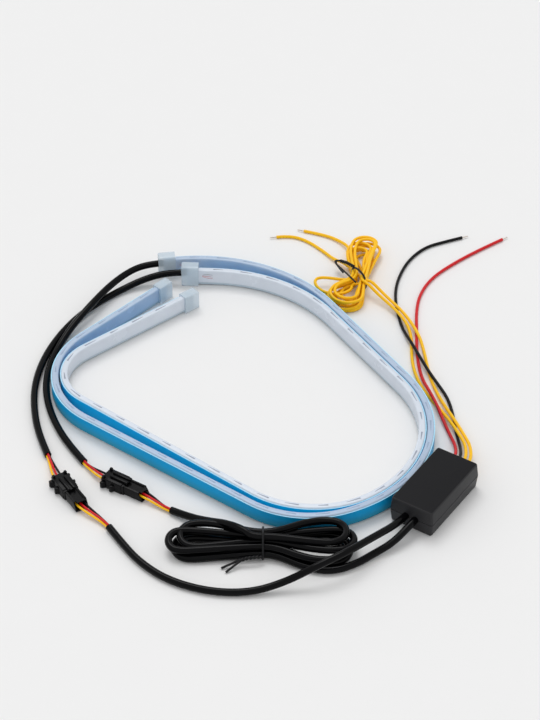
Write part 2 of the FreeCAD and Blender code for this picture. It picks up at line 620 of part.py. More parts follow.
def plug_housing(number):
    """Control box's half: a nose inside the socket and an open-backed body."""
    body = doc.addObject("PartDesign::Body", f"plug_{number}")
    block = new_sketch(body, "YZ_Plane", "block", "Sizes.socket_long")
    rectangle(
        block, "block", "-Sizes.plug_wide / 2", "Sizes.plug_wide / 2",
        f"{WAY_HEIGHT} - Sizes.plug_tall / 2", f"{WAY_HEIGHT} + Sizes.plug_tall / 2",
    )
    solid = pad(body, block, "Sizes.plug_long")
    far = size("socket_long") + size("plug_long")
    bevel(
        body, solid, "Sizes.plug_wall * 0.8",
        lambda edge: abs(edge.CenterOfMass.x - far) < 0.1 and abs(edge.CenterOfMass.y) > 1,
    )
    nose = new_sketch(body, "YZ_Plane", "nose", "Sizes.socket_long")
    rectangle(
        nose, "nose", "-Sizes.nose_wide / 2", "Sizes.nose_wide / 2",
        f"{WAY_HEIGHT} - Sizes.nose_tall / 2", f"{WAY_HEIGHT} + Sizes.nose_tall / 2",
    )
    pad(body, nose, "Sizes.nose_long", backwards=True)
    back = new_sketch(body, "YZ_Plane", "back", "Sizes.socket_long + Sizes.plug_long")
    reach = "Sizes.plug_wide / 2 - Sizes.plug_wall"
    rise = "Sizes.plug_tall / 2 - Sizes.plug_wall"
    rectangle(back, "back", f"-({reach})", reach, f"{WAY_HEIGHT} - ({rise})", f"{WAY_HEIGHT} + {rise}")
    pocket(body, back, "Sizes.plug_hollow")
    bores = new_sketch(body, "YZ_Plane", "ways", "Sizes.socket_long - Sizes.nose_long")
    for way, y in enumerate(WAYS):
        circle(bores, f"way_{way}", y, WAY_HEIGHT, "Sizes.way_bore")
    pocket(body, bores, "Sizes.nose_long + Sizes.plug_long", forwards=True)
    place(body, plug_pose(number))
    keep(body, f"plug_{number}")


def way_point(number, x, way):
    """Point on one of a plug's three ways, at a distance from its wires' side."""
    px, py, heading = plug_pose(number)
    y = (way - 1) * size("way_pitch")
    turn = FreeCAD.Rotation(V(0, 0, 1), heading)
    return V(px, py, 0) + turn.multVec(V(x, y, size("socket_tall") / 2))


def contacts():
    """Crimped sockets and pins of both plugs, each kind in one group."""
    pins, sockets = [], []
    depth, crimp, pin = size("core_depth"), size("crimp_thick") / 2, size("pin_thick") / 2
    back = size("socket_long") + size("plug_long") - size("plug_hollow")
    for number in (1, 2):
        for way in range(3):
            start, end = way_point(number, depth, way), way_point(number, depth + size("crimp_long"), way)
            axis = end - start
            hollow = Part.makeCylinder(pin + size("pin_fit"), size("crimp_long") - depth, end, axis * -1)
            sockets.append(Part.makeCylinder(crimp, size("crimp_long"), start, axis).cut(hollow))
            front = depth + size("crimp_long") + size("pin_fit")
            shoulder = way_point(number, front, way)
            body = Part.makeCylinder(crimp, back - front, shoulder, axis)
            reach = size("crimp_long") - depth - 2 * size("pin_fit")
            needle = Part.makeCylinder(pin, reach, shoulder, axis * -1)
            pins.append(body.fuse(needle))
    for label, solids in (("contact_sockets", sockets), ("contact_pins", pins)):
        group = doc.addObject("Part::Feature", label)
        group.Shape = Part.makeCompound(solids)
        keep(group, label)


def core_route(number, way, route, depth):
    """Route of one core from a cable's cut end into a plug, to a depth from the socket's wires."""
    before, end = V(*route[-2]), V(*route[-1])
    along = end - before
    along.normalize()
    aside = V(-along.y, along.x, 0)
    aside.normalize()
    inwards = 1 if depth < size("socket_long") else -1
    angle = math.radians((210, 90, 330)[way])
    shift = aside * (inwards * math.cos(angle)) + along.cross(aside) * math.sin(angle)
    shift.multiply(size("core_spread"))
    seat = way_point(number, depth, way)
    mouth = way_point(number, depth - inwards * size("core_entry"), way)
    return [end + shift, end + shift + along * size("core_run"), mouth, seat]


def cores(name, number, route, depth):
    for way, colour in enumerate(("yellow", "red", "black")):
        tube(f"{name}_core_{colour}", core_route(number, way, route, depth), size("core_thick"))


# Control box

def case_pose():
    """The control box stands beside the shared bend, a gap away from the outer strip's tape."""
    strip_back = size("bend_radius") + size("sleeve_thick") / 2 + size("tape_thick")
    reach = strip_back + size("case_gap") + size("case_wide") / 2
    angle = math.radians(size("case_bearing"))
    x, y = size("bend_x") + reach * math.cos(angle), size("bend_y") + reach * math.sin(angle)
    return x, y, size("case_heading")


SEAM = "Sizes.case_tall / 2"


def case_half(label, top):
    """Drafted shell, widest at the seam, with half-round notches for the cables and wires."""
    body = doc.addObject("PartDesign::Body", label)
    block = new_sketch(body, "XY_Plane", "block", SEAM)
    cut_rectangle(
        block, "block", "-Sizes.case_long / 2", "Sizes.case_long / 2",
        "-Sizes.case_wide / 2", "Sizes.case_wide / 2", "Sizes.case_corner",
    )
    solid = pad(body, block, SEAM, backwards=not top, taper="-Sizes.case_draft")
    level = size("case_tall") if top else 0
    bevel(body, solid, "Sizes.case_bevel", lambda edge: abs(edge.CenterOfMass.z - level) < 0.01)
    hollow = new_sketch(body, "XY_Plane", "hollow", SEAM)
    half_long, half_wide = "Sizes.case_long / 2 - Sizes.case_wall", "Sizes.case_wide / 2 - Sizes.case_wall"
    rectangle(hollow, "hollow", f"-({half_long})", half_long, f"-({half_wide})", half_wide)
    pocket(body, hollow, f"{SEAM} - Sizes.case_wall", forwards=top, taper="-Sizes.case_draft")
    fronts = new_sketch(body, "YZ_Plane", "cable_notches", "-Sizes.case_long / 2")
    for number, y in enumerate(("-Sizes.cable_spread / 2", "Sizes.cable_spread / 2")):
        circle(fronts, f"cable_{number}", y, SEAM, "Sizes.cable_thick + 2 * Sizes.wire_fit")
    pocket(body, fronts, "2 * Sizes.case_wall", forwards=True)
    backs = new_sketch(body, "YZ_Plane", "wire_notches", "Sizes.case_long / 2")
    for number in range(4):
        y = f"{number - 1.5} * Sizes.wire_spread"
        circle(backs, f"wire_{number}", y, SEAM, "Sizes.wire_thick + 2 * Sizes.wire_fit")
    pocket(body, backs, "2 * Sizes.case_wall")
    if not top:
        posts = new_sketch(body, "XY_Plane", "posts", "Sizes.case_wall")
        reach_x = "Sizes.circuit_long / 2 - Sizes.post_inset"
        reach_y = "Sizes.circuit_wide / 2 - Sizes.post_inset"
        for number, (x, y) in enumerate(((1, 1), (1, -1), (-1, 1), (-1, -1))):
            circle(posts, f"post_{number}", f"{x} * ({reach_x})", f"{y} * ({reach_y})", "Sizes.post_thick")
        pad(body, posts, "Sizes.post_tall")
    place(body, case_pose())
    keep(body, label)


def on_case(local):
    """Point of the control box's own frame, in the part's frame."""
    x, y, heading = case_pose()
    return V(x, y, 0) + FreeCAD.Rotation(V(0, 0, 1), heading).multVec(local)


def case_start(place, kind):
    """First two points of a cable at the front or a wire at the back, level with the seam."""
    outwards = 1 if kind == "wire" else -1
    inside = size("case_long") / 2 - 2 * size("case_wall")
    y, height = place * size(kind + "_spread"), size("case_tall") / 2
    ends = (inside, inside + size("start_straight"))
    return tuple(tuple(on_case(V(outwards * x, y, height))) for x in ends)


def circuit_block(label, prefix, x, y, low):
    """Box on the circuit board, centred on a point of the control box's frame."""
    block = doc.addObject("Part::Box", label)
    for side, part in (("Length", "long"), ("Width", "wide"), ("Height", "tall")):
        block.setExpression(side, f"Sizes.{prefix}_{part}")
    doc.recompute()
    corner = on_case(V(x - block.Length.Value / 2, y - block.Width.Value / 2, low))
    place(block, (corner.x, corner.y, size("case_heading")), low)
    return block


def build_circuit():
    low = size("case_wall") + size("post_tall")
    board = doc.addObject("Part::Box", "circuit_board")
    for side, part in (("Length", "long"), ("Width", "wide"), ("Height", "thick")):
        board.setExpression(side, f"Sizes.circuit_{part}")
    corner = on_case(V(-size("circuit_long") / 2, -size("circuit_wide") / 2, 0))
    place(board, (corner.x, corner.y, size("case_heading")), low)
    keep(board, "circuit_board")
    top = low + size("circuit_thick")
    quarter, side = size("circuit_long") / 4, size("circuit_wide") / 5
    keep(circuit_block("control_chip", "controller_chip", 0, side, top), "control_chip")
    keep(circuit_block("radio_receiver", "receiver", quarter, side, top), "radio_receiver")
    capacitor = doc.addObject("Part::Cylinder", "capacitor")
    capacitor.setExpression("Radius", "Sizes.capacitor_thick / 2")
    capacitor.setExpression("Height", "Sizes.capacitor_tall")
    seat = on_case(V(quarter, -side, 0))
    place(capacitor, (seat.x, seat.y, 0), top)
    keep(capacitor, "capacitor")
    switches = []
    for number in range(3):
        x = (number - 1) * size("switch_pitch") - quarter
        long, wide, tall = (size("switch_" + part) for part in ("long", "wide", "tall"))
        switch = Part.makeBox(long, wide, tall, V(-long / 2, -wide / 2, 0))
        seat = on_case(V(x, -side, top))
        switch.Placement = FreeCAD.Placement(seat, FreeCAD.Rotation(V(0, 0, 1), size("case_heading")))
        switches.append(switch)
    group = doc.addObject("Part::Feature", "power_switches")
    group.Shape = Part.makeCompound(switches)
    keep(group, "power_switches")


# The whole kit

for strip in ("outer", "inner"):
    build_strip(strip)

case_half("case_bottom", top=False)
case_half("case_top", top=True)
build_circuit()

cable = size("cable_thick")
tube("outer_lead", cap_start("outer") + OUTER_LEAD, cable)
tube("inner_lead", cap_start("inner") + INNER_LEAD, cable)
tube("cable_1", case_start(0.5, "cable") + CABLE_1, cable)
tube("cable_2_near", case_start(-0.5, "cable") + CABLE_2_NEAR, cable)
tube("cable_2_far", CABLE_2_FAR, cable)
hank("cable_2_hank", "black", BLACK_HANK)

for plug in (1, 2):
    socket_housing(plug)
    plug_housing(plug)
contacts()
plug_back = size("socket_long") + size("plug_long") - size("plug_hollow")
cores("inner_lead", 1, INNER_LEAD, size("core_depth"))
cores("cable_1", 1, CABLE_1, plug_back)
cores("outer_lead", 2, OUTER_LEAD, size("core_depth"))
cores("cable_2", 2, CABLE_2_FAR, plug_back)

wire = size("wire_thick")
tube("red_wire", case_start(1.5, "wire") + RED_WIRE, wire)
tube("black_wire", case_start(0.5, "wire") + BLACK_WIRE, wire)
tube("yellow_wire_2", case_start(-0.5, "wire") + YELLOW_WIRE_2, wire)
tube("yellow_wire_1", case_start(-1.5, "wire") + YELLOW_WIRE_1, wire)
tube("yellow_end_1", YELLOW_END_1, wire)
tube("yellow_end_2", YELLOW_END_2, wire)
hank("yellow_hank", "yellow", YELLOW_HANK)
wire_tips("wire_tips", (RED_WIRE, BLACK_WIRE, YELLOW_END_1, YELLOW_END_2))
wire_tie("black_tie", "black", BLACK_TIE_TAIL)
wire_tie("yellow_tie", "yellow", YELLOW_TIE_TAIL)

# Check every object, then write one file for each sub-part

doc.recompute()
for item in doc.Objects:
    if "Invalid" in item.State or "Error" in item.State:
        raise RuntimeError(f"{item.Label} failed: {item.State}")
for node in nodes:
    if node.Shape.isNull() or not node.Shape.isValid():
        raise RuntimeError(f"{node.Label} has no valid shape")
os.makedirs("parts", exist_ok=True)
for node in nodes:
    node.Shape.exportStep(os.path.join("parts", node.Label + ".step"))
print(len(nodes), "nodes")
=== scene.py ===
"""Car light strip kit: two silicone strips in a loop, their leads, plugs, hanks and control box.

Lengths are in millimetres until a point or size is multiplied by MM. A pose is a place on the floor
with a heading: x, y and degrees anticlockwise from +X.
"""
import math

import bmesh
import bpy
from mathutils import Matrix, Vector


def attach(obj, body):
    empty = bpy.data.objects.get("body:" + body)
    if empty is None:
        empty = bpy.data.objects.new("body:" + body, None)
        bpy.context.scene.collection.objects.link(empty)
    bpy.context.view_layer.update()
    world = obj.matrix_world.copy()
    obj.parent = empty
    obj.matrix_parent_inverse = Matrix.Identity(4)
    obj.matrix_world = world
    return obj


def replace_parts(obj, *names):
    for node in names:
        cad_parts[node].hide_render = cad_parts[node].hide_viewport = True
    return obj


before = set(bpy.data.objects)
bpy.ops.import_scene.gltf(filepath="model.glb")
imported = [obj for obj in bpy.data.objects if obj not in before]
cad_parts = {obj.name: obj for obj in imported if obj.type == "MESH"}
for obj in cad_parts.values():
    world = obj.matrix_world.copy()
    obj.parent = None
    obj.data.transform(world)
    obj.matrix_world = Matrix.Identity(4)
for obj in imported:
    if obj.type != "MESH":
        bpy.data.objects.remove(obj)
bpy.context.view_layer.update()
MM = 0.001

# Sizes of the strips and their caps

SLEEVE_THICK = 3.6
SLEEVE_LOW = 0.6
SLEEVE_HIGH = 10.6
SLEEVE_ROUND = 0.8
CHANNEL_ROUND = 0.3
LIGHT_WALL = 1.2
BACK_WALL = 0.6
RIM_WALL = 1.2
TAPE_THICK = 0.6
TAPE_LOW = 1.4
TAPE_HIGH = 9.8
TAPE_INSET = 7.5
TAPE_EDGE_SLOPE = 0.7  # faces that look up or down by more are the tape's edges
CAP_HALF = 3.2
CAP_GRIP = 6.5
CAP_END = 3.5
CAP_ROUND = 0.8
FREE_CAP_TOP = 11.4
CABLE_CAP_TOP = 13.4
MOUTH_FIT = 0.1
MOUTH_INSET = 1.2  # before the mouth is fitted to its sleeve
BEND_STEP = 3  # degrees

# Each strip's line: the pose of its cable end, then straights (length, 0) and clockwise bends
# (radius, angle) to its free end. The taped back is on the left.
STRIPS = {
    "outer": ((-56.538, 110.797, 7.7), [
        (8.0, 0), (90.0, 65.5), (78.3, 0), (74.8, 102.4),
        (50.9, 56.9), (113.1, 0), (47.7, 96.5), (65.4, 0),
    ]),
    "inner": ((-42.583, 101.426, -2.8), [
        (16.0, 0), (83.1, 55.0), (70.9, 0), (70.2, 85.4),
        (51.9, 75.8), (121.4, 0), (28.9, 101.6), (75.6, 0),
    ]),
}
STRIP_LONG = {
    side: sum(reach * math.radians(turn) if turn else reach for reach, turn in line)
    for side, (start, line) in STRIPS.items()
}

# Dark marks in the sleeves' upper edge, at the lamps' pitch
LAMP_PITCH = 16.6
FIRST_MARK = 18.0  # from a strip's cable end
LAST_MARK = 14.0  # at least, from its free end
MARK_LONG = 7.0
MARK_VARIES = 1.5
MARK_NEAR = -0.65
MARK_FAR = 0.45
MARK_DEPTH = 0.2
MARK_PROUD = 0.04
MARK_TAPER = 0.35  # share of its width at one end
MARK_ROUND = 0.08

# Sizes of the control box

CASE_POSE = (92.427, -88.13, 56.6)
CASE_LONG = 49.0
CASE_WIDE = 26.0
CASE_TALL = 16.0
CASE_WALL = 1.5
CASE_DRAFT = 0.7
CASE_CORNER = 1.4
CASE_ROUND = 0.9
SEAM_GAP = 0.2
SEAM_CHAMFER = 0.22
LID_SLOPE = 0.9  # faces that look up or down by more get the darker copy, painted shade

# Sizes of the plugs: each socket's pose is at its wires, and its plug follows it

SOCKETS = {1: (-107.2, -72.4, -57.8), 2: (-82.0, -71.5, -32.8)}
SOCKET_LONG = 13.0
SOCKET_HALF = 4.5
SOCKET_TALL = 6.4
SOCKET_ROUND = 0.45
HOUSING_ROUND = 0.25
SUNK = 0.4  # depth of the latch, rails, posts and barbs in the socket's body
LATCH_START = 5.0
LATCH_REACH = 2.2  # past the socket's end
LATCH_HALF = 2.2
LATCH_RISE = 0.5
RAIL_START = 4.2
RAIL_REACH = 2.4  # past the socket's end
RAIL_INNER = 0.8
RAIL_RISE = 1.5
POST_START = 0.4
POST_END = 2.0
POST_INNER = 2.7
POST_OUTER = 4.3
POST_RISE = 1.2
POST_ROUND = 0.4
BARB_STARTS = (0.3, 6.2)
BARB_LONG = 3.0
BARB_LOW = 0.4
BARB_HIGH = 4.4
BARB_REACH = 1.7
BARB_SLANT = 0.55  # share of its length
BARB_ROUND = 0.2
PLUG_LONG = 13.0
PLUG_HALF = 3.8
PLUG_LOW = 0.5
PLUG_HIGH = 5.9
PLUG_ROUND = 0.4
PLUG_HOLLOW = 5.0
PLUG_WALL = 0.7
PLUG_BACK = SOCKET_LONG + PLUG_LONG - PLUG_HOLLOW
ROOF_INSET = 1.3
ROOF_SINK = 0.6
ROOF_CUT = 2.4
END_ZONE = 0.1  # corners this near to a plug's open end belong to it
COLLAR_BEFORE = 0.2
COLLAR_AFTER = 1.4
COLLAR_PROUD = 0.4
COLLAR_LOW = 0.2
COLLAR_RISE = 0.3

# Sizes of the cords, cores and ties

CABLE = 4.0
WIRE = 1.8
CORE = 1.25
CORE_DEPTH = 2.0  # of a lead's cores in a socket
CORE_SPREAD = 0.76
CORE_RUN = 4  # straight out of a cable
CORE_ENTRY = 5  # straight into a plug
CORE_ANGLES = (210, 90, 330)  # round a cable's line, in the order of a plug's ways
WAY_PITCH = 2.1
TIP_STRAND = 0.38
TIP_TWIST = 0.2
TIP_PITCH = 3.0
TIP_PLACES = (-1.0, 1.6, 3.4)  # from the end of the insulation
TIP_END = 3.9
TIP_SPLAY = 0.3
TWIST_STEPS = 6  # to a turn
TIE_BAND = 1.2
BLACK_TIE_TAIL = 1.25
BLACK_TIE_TWIST = (0.5, 4.0)  # radius and pitch
YELLOW_TIE_TAIL = 1.05
YELLOW_TIE_TWIST = (0.6, 3.2)
YELLOW_TIE_HEADING = 123
SOLDER_WIRE = 0.6

# Camera, in metres

EYE = Vector((0.0056, -1.103, 0.9343))
AIM = Vector((0.0056, 0.0305, 0.0))
lens = bpy.data.cameras.new("camera")
lens.lens = 130
lens.sensor_width = 36
camera = bpy.data.objects.new("camera", lens)
camera.location = EYE
camera.rotation_euler = (AIM - EYE).to_track_quat("-Z", "Y").to_euler()
bpy.context.collection.objects.link(camera)
bpy.context.scene.camera = camera

# Materials

NOISE_DETAIL = 4.0
NOISE_STOPS = (0.3, 0.7)
ROUGHNESS_SPREAD = 0.06
RELIEF_DISTANCE = 0.0002  # metres
GRADE_RELIEF = 0.025
GRADE_NOISE = 0.16
GRADE_STOPS = (0.06, 0.72)
# Heights between which a sleeve's colour changes from its lower rim's painted shade
RIM_LOW = 2.0
RIM_HIGH = 3.0


def finish_of(name, colour, roughness, grain=900.0, relief=0.08, spread=0.06, **settings):
    """Principled material with fine noise in its colour, its roughness and its surface."""
    material = bpy.data.materials.new(name)
    material.use_nodes = True
    nodes, links = material.node_tree.nodes, material.node_tree.links
    shader = nodes["Principled BSDF"]
    place = nodes.new("ShaderNodeTexCoord")
    noise = nodes.new("ShaderNodeTexNoise")
    noise.inputs["Scale"].default_value = grain
    noise.inputs["Detail"].default_value = NOISE_DETAIL
    links.new(place.outputs["Object"], noise.inputs["Vector"])
    ramp = nodes.new("ShaderNodeValToRGB")
    stops = ramp.color_ramp.elements
    for stop, position, factor in zip(stops, NOISE_STOPS, (1 - spread, 1 + spread)):
        stop.position = position
        stop.color = [min(1.0, part * factor) for part in colour] + [1.0]
    links.new(noise.outputs["Fac"], ramp.inputs["Fac"])
    links.new(ramp.outputs["Color"], shader.inputs["Base Color"])
    rough = nodes.new("ShaderNodeMapRange")
    rough.inputs["To Min"].default_value = roughness - ROUGHNESS_SPREAD
    rough.inputs["To Max"].default_value = roughness + ROUGHNESS_SPREAD
    links.new(noise.outputs["Fac"], rough.inputs["Value"])
    links.new(rough.outputs["Result"], shader.inputs["Roughness"])
    bump = nodes.new("ShaderNodeBump")
    bump.inputs["Strength"].default_value = relief
    bump.inputs["Distance"].default_value = RELIEF_DISTANCE
    links.new(noise.outputs["Fac"], bump.inputs["Height"])
    links.new(bump.outputs["Normal"], shader.inputs["Normal"])
    for socket, value in settings.items():
        shader.inputs[socket.replace("_", " ")].default_value = value
    return material


def floor_shaded_of(name, top, foot, low, high, roughness, grain, **settings):
    """Finish from its foot's colour at one height to its top's at another; its foot is painted
    shade.
    """
    material = finish_of(name, top, roughness, grain, GRADE_RELIEF, **settings)
    nodes, links = material.node_tree.nodes, material.node_tree.links
    noise = next(node for node in nodes if node.type == "TEX_NOISE")
    ramp = next(node for node in nodes if node.type == "VALTORGB")
    place = next(node for node in nodes if node.type == "TEX_COORD")
    split = nodes.new("ShaderNodeSeparateXYZ")
    links.new(place.outputs["Object"], split.inputs["Vector"])
    height = nodes.new("ShaderNodeMapRange")
    height.inputs["From Min"].default_value = low * MM
    height.inputs["From Max"].default_value = high * MM
    links.new(split.outputs["Z"], height.inputs["Value"])
    blend = nodes.new("ShaderNodeMath")
    blend.operation = "MULTIPLY_ADD"
    blend.inputs[1].default_value = GRADE_NOISE
    links.new(noise.outputs["Fac"], blend.inputs[0])
    links.new(height.outputs["Result"], blend.inputs[2])
    links.new(blend.outputs["Value"], ramp.inputs["Fac"])
    for stop, position, colour in zip(ramp.color_ramp.elements, GRADE_STOPS, (foot, top)):
        stop.position = position
        stop.color = (*colour, 1.0)
    return material


def silicone_of(side, top, foot, alpha):
    """Milky sleeve, darker at its lower rim with painted shade near the floor."""
    return floor_shaded_of(
        f"milky_silicone_{side}", top, foot, RIM_LOW, RIM_HIGH, roughness=0.26, grain=50,
        Alpha=alpha)


def film_of(side, top, foot):
    """Blue film of a tape, darker towards the floor with painted shade and a painted floor
    reflection.
    """
    return floor_shaded_of(
        f"blue_film_{side}", top, foot, TAPE_LOW, TAPE_HIGH, roughness=0.4, grain=260,
        Specular_IOR_Level=0.12)


def shadow_of(side, colour, alpha):
    """Lamp's shadow in a sleeve's upper edge."""
    return finish_of(
        f"lamp_shadow_{side}", colour, 0.4, grain=300, relief=0.04, spread=0.25, Alpha=alpha)


# Sleeves, with painted shade at their lower rims
SILICONE = {
    "outer": silicone_of("outer", (0.58, 0.72, 0.92), (0.44, 0.60, 0.72), 0.72),
    "inner": silicone_of("inner", (0.82, 0.89, 0.99), (0.56, 0.68, 0.77), 0.77),
}
CLEAR = finish_of(
    "clear_channel", (0.80, 0.85, 0.92), 0.3, grain=120, relief=0.02, spread=0.04, Alpha=0.12)
# Blue films, with painted shade and a painted floor reflection towards the floor
FILM = {
    "outer": film_of("outer", (0.0, 0.37, 0.76), (0.03, 0.28, 0.42)),
    "inner": film_of("inner", (0.0, 0.52, 0.98), (0.0, 0.42, 0.80)),
}
TAPE_EDGE = finish_of("tape_edge", (0.42, 0.76, 0.95), 0.5, grain=500)
CAP_SILICONE = finish_of(
    "cap_silicone", (0.66, 0.77, 0.86), 0.20, grain=60, relief=0.02, spread=0.015, Alpha=0.60)
LAMP_BOARD = finish_of("white_flexible_circuit", (0.70, 0.72, 0.74), 0.5, grain=400, relief=0.06)
LAMP = finish_of("lamp_body", (0.10, 0.10, 0.12), 0.35, grain=700, relief=0.05)
CHIP = finish_of("moulded_chip", (0.012, 0.013, 0.018), 0.5, grain=1500, relief=0.1)
MARK = {
    "outer": shadow_of("outer", (0.22, 0.30, 0.46), 0.26),
    "inner": shadow_of("inner", (0.16, 0.19, 0.30), 0.42),
}
CIRCUIT = finish_of("green_circuit", (0.015, 0.11, 0.045), 0.4, grain=500, spread=0.2)
METAL_CAN = finish_of("drawn_can", (0.62, 0.63, 0.65), 0.3, relief=0.05, Metallic=1.0)
BRASS = finish_of("plated_contact", (0.66, 0.50, 0.20), 0.3, relief=0.05, Metallic=1.0)
TIN = finish_of("tinned_copper", (0.62, 0.56, 0.50), 0.35, grain=1200, Metallic=1.0)
# One plastic in two copies: sides lighter with sheen are painted light, lid and base painted shade
CASE = finish_of(
    "black_case_sides_painted_light", (0.017, 0.017, 0.019), 0.46, grain=2600, spread=0.12,
    Specular_IOR_Level=0.30)
CASE_LID_PAINTED_SHADE = finish_of(
    "black_case_lid_painted_shade", (0.009, 0.009, 0.0105), 0.55, grain=2600, spread=0.12,
    Specular_IOR_Level=0.10)
HOUSING = finish_of(
    "black_housing", (0.004, 0.004, 0.0046), 0.26, grain=1800, relief=0.05, spread=0.12,
    Specular_IOR_Level=0.11)
JACKET = finish_of(
    "black_jacket", (0.0015, 0.0015, 0.002), 0.14, grain=500, relief=0.03, spread=0.15,
    Specular_IOR_Level=0.11)
BLACK = finish_of(
    "black_insulation", (0.004, 0.004, 0.005), 0.30, grain=700, relief=0.05, spread=0.15,
    Specular_IOR_Level=0.15)
YELLOW = finish_of(
    "yellow_insulation", (0.98, 0.55, 0.002), 0.42, grain=700, relief=0.05, spread=0.02,
    Specular_IOR_Level=0.3)
RED = finish_of(
    "red_insulation", (0.62, 0.006, 0.012), 0.40, grain=700, relief=0.05, Specular_IOR_Level=0.3)
PINK = finish_of("pink_insulation", (0.80, 0.16, 0.18), 0.45, grain=700, relief=0.05, Alpha=0.45)
GREY = finish_of("grey_insulation", (0.05, 0.06, 0.09), 0.45, grain=700, relief=0.05, Alpha=0.45)
TIE = finish_of(
    "coated_tie", (0.004, 0.004, 0.005), 0.36, grain=1500, relief=0.10, spread=0.15,
    Specular_IOR_Level=0.3)
PAPER = finish_of("paper_floor", (0.855, 0.855, 0.855), 0.8, grain=40, relief=0.0, spread=0.003)
COLOURS = {"yellow": YELLOW, "red": RED, "black": BLACK}


# Helpers for forms and places

SHARP_ANGLE = 35
CORNER_STEPS = 4
MERGE_WITHIN = 1e-6  # metres


def at(pose, along, aside, up):
    """Point of a pose's own frame, in the part's frame and in metres."""
    x, y, heading = pose
    turned = Matrix.Rotation(math.radians(heading), 3, "Z") @ Vector((along, aside, up))
    return (Vector((x, y, 0)) + turned) * MM


def walk(pose, reach, turn):
    """Pose after a straight of that length, or after a clockwise bend of that radius."""
    x, y, heading = pose
    half = math.radians(turn) / 2
    chord = 2 * reach * math.sin(half) if turn else reach
    direction = math.radians(heading) - half
    return x + chord * math.cos(direction), y + chord * math.sin(direction), heading - turn


def only(kind, geometry):
    """Those items of an operator's geometry that are of one kind."""
    return [item for item in geometry if isinstance(item, kind)]


def piece_of(name, form, materials, slot, *nodes):
    """Object made of a form; it rides on the part's one body and stands for CAD nodes."""
    bmesh.ops.recalc_face_normals(form, faces=form.faces)
    mesh = bpy.data.meshes.new(name)
    form.to_mesh(mesh)
    form.free()
    mesh.polygons.foreach_set("use_smooth", [True] * len(mesh.polygons))
    mesh.set_sharp_from_angle(angle=math.radians(SHARP_ANGLE))
    for material in materials:
        mesh.materials.append(material)
    piece = bpy.data.objects.new(name, mesh)
    bpy.context.collection.objects.link(piece)
    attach(piece, "root")
    if nodes:
        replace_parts(piece, *nodes)
    return piece


def block(form, low, high):
    """Box between two corners, as its vertices."""
    corners = bmesh.ops.create_cube(form, size=1.0)["verts"]
    bmesh.ops.scale(form, verts=corners, vec=(Vector(high) - Vector(low)) * MM)
    bmesh.ops.translate(form, verts=corners, vec=(Vector(high) + Vector(low)) / 2 * MM)
    return corners


def edges_of(corners):
    """Edges that meet any of the corners."""
    return list({edge for corner in corners for edge in corner.link_edges})


def soften(form, edges, width, segments=3):
    """Round edges, or with one segment chamfer them."""
    bmesh.ops.bevel(
        form, geom=edges, offset=width * MM, segments=segments, profile=0.5, affect="EDGES",
        material=-1)


def round_corners(form, corners, radius):
    """Round the corners of a flat face and return what the operator made."""
    return bmesh.ops.bevel(
        form, geom=corners, offset=radius * MM, segments=CORNER_STEPS, profile=0.5,
        affect="VERTICES", material=-1)


def push(form, face, vector):
    """Extrude a face by a vector and return the moved face."""
    made = bmesh.ops.extrude_face_region(form, geom=[face])["geom"]
    moved = only(bmesh.types.BMFace, made)[0]
    if face.is_valid and face != moved:
        bmesh.ops.delete(form, geom=[face], context="FACES_ONLY")
    bmesh.ops.translate(form, verts=only(bmesh.types.BMVert, made), vec=Vector(vector) * MM)
    return moved


def stand(form, pose, corners=None):
    """Turn and move a form, or some corners of it, from a pose's own frame to its place."""
    corners = corners or list(form.verts)
    turn = Matrix.Rotation(math.radians(pose[2]), 3, "Z")
    bmesh.ops.rotate(form, verts=corners, cent=(0, 0, 0), matrix=turn)
    bmesh.ops.translate(form, verts=corners, vec=at(pose, 0, 0, 0))


# Strips

def outline(form, pose, near, far, low, high, rounding=0.0):
    """Upright rectangle across a strip's line, with rounded corners, as its loop of edges."""
    places = ((near, low), (far, low), (far, high), (near, high))
    corners = [form.verts.new(at(pose, 0, aside, up)) for aside, up in places]
    face = form.faces.new(corners)
    if rounding:
        made = round_corners(form, corners, rounding)
        face = next(iter(made["verts"][0].link_faces))
    edges = list(face.edges)
    bmesh.ops.delete(form, geom=[face], context="FACES_ONLY")
    return edges


def draw_along(form, side, inset, edges):
    """Draw a loop along a strip's line, extruding the straights and spinning the bends."""
    start, line = STRIPS[side]
    pose = walk(start, inset, 0)
    for number, (reach, turn) in enumerate(line):
        corners = list({corner for edge in edges for corner in edge.verts})
        if turn:
            made = bmesh.ops.spin(
                form, geom=corners + edges, cent=at(pose, 0, -reach, 0), axis=(0, 0, 1),
                angle=-math.radians(turn), steps=round(turn / BEND_STEP))["geom_last"]
        else:
            reach -= inset if number in (0, len(line) - 1) else 0
            made = bmesh.ops.extrude_edge_only(form, edges=edges)["geom"]
            shift = at(walk(pose, reach, 0), 0, 0, 0) - at(pose, 0, 0, 0)
            bmesh.ops.translate(form, verts=only(bmesh.types.BMVert, made), vec=shift)
        edges = only(bmesh.types.BMEdge, made)
        pose = walk(pose, reach, turn)
    return edges


def sleeve(side):
    """Hollow milky sleeve: its skin and its channel drawn along the line and joined at the ends."""
    form, half = bmesh.new(), SLEEVE_THICK / 2
    start = STRIPS[side][0]
    skin = outline(form, start, -half, half, SLEEVE_LOW, SLEEVE_HIGH, SLEEVE_ROUND)
    skin_end = draw_along(form, side, 0.0, skin)
    outside = set(form.faces)
    channel = outline(
        form, start, -half + LIGHT_WALL, half - BACK_WALL, SLEEVE_LOW + RIM_WALL,
        SLEEVE_HIGH - RIM_WALL, CHANNEL_ROUND)
    channel_end = draw_along(form, side, 0.0, channel)
    for face in form.faces:
        face.material_index = 0 if face in outside else 1
    bmesh.ops.bridge_loops(form, edges=skin + channel)
    bmesh.ops.bridge_loops(form, edges=skin_end + channel_end)
    return piece_of(side + "_silicone", form, [SILICONE[side], CLEAR], "silicone", side + "_sleeve")


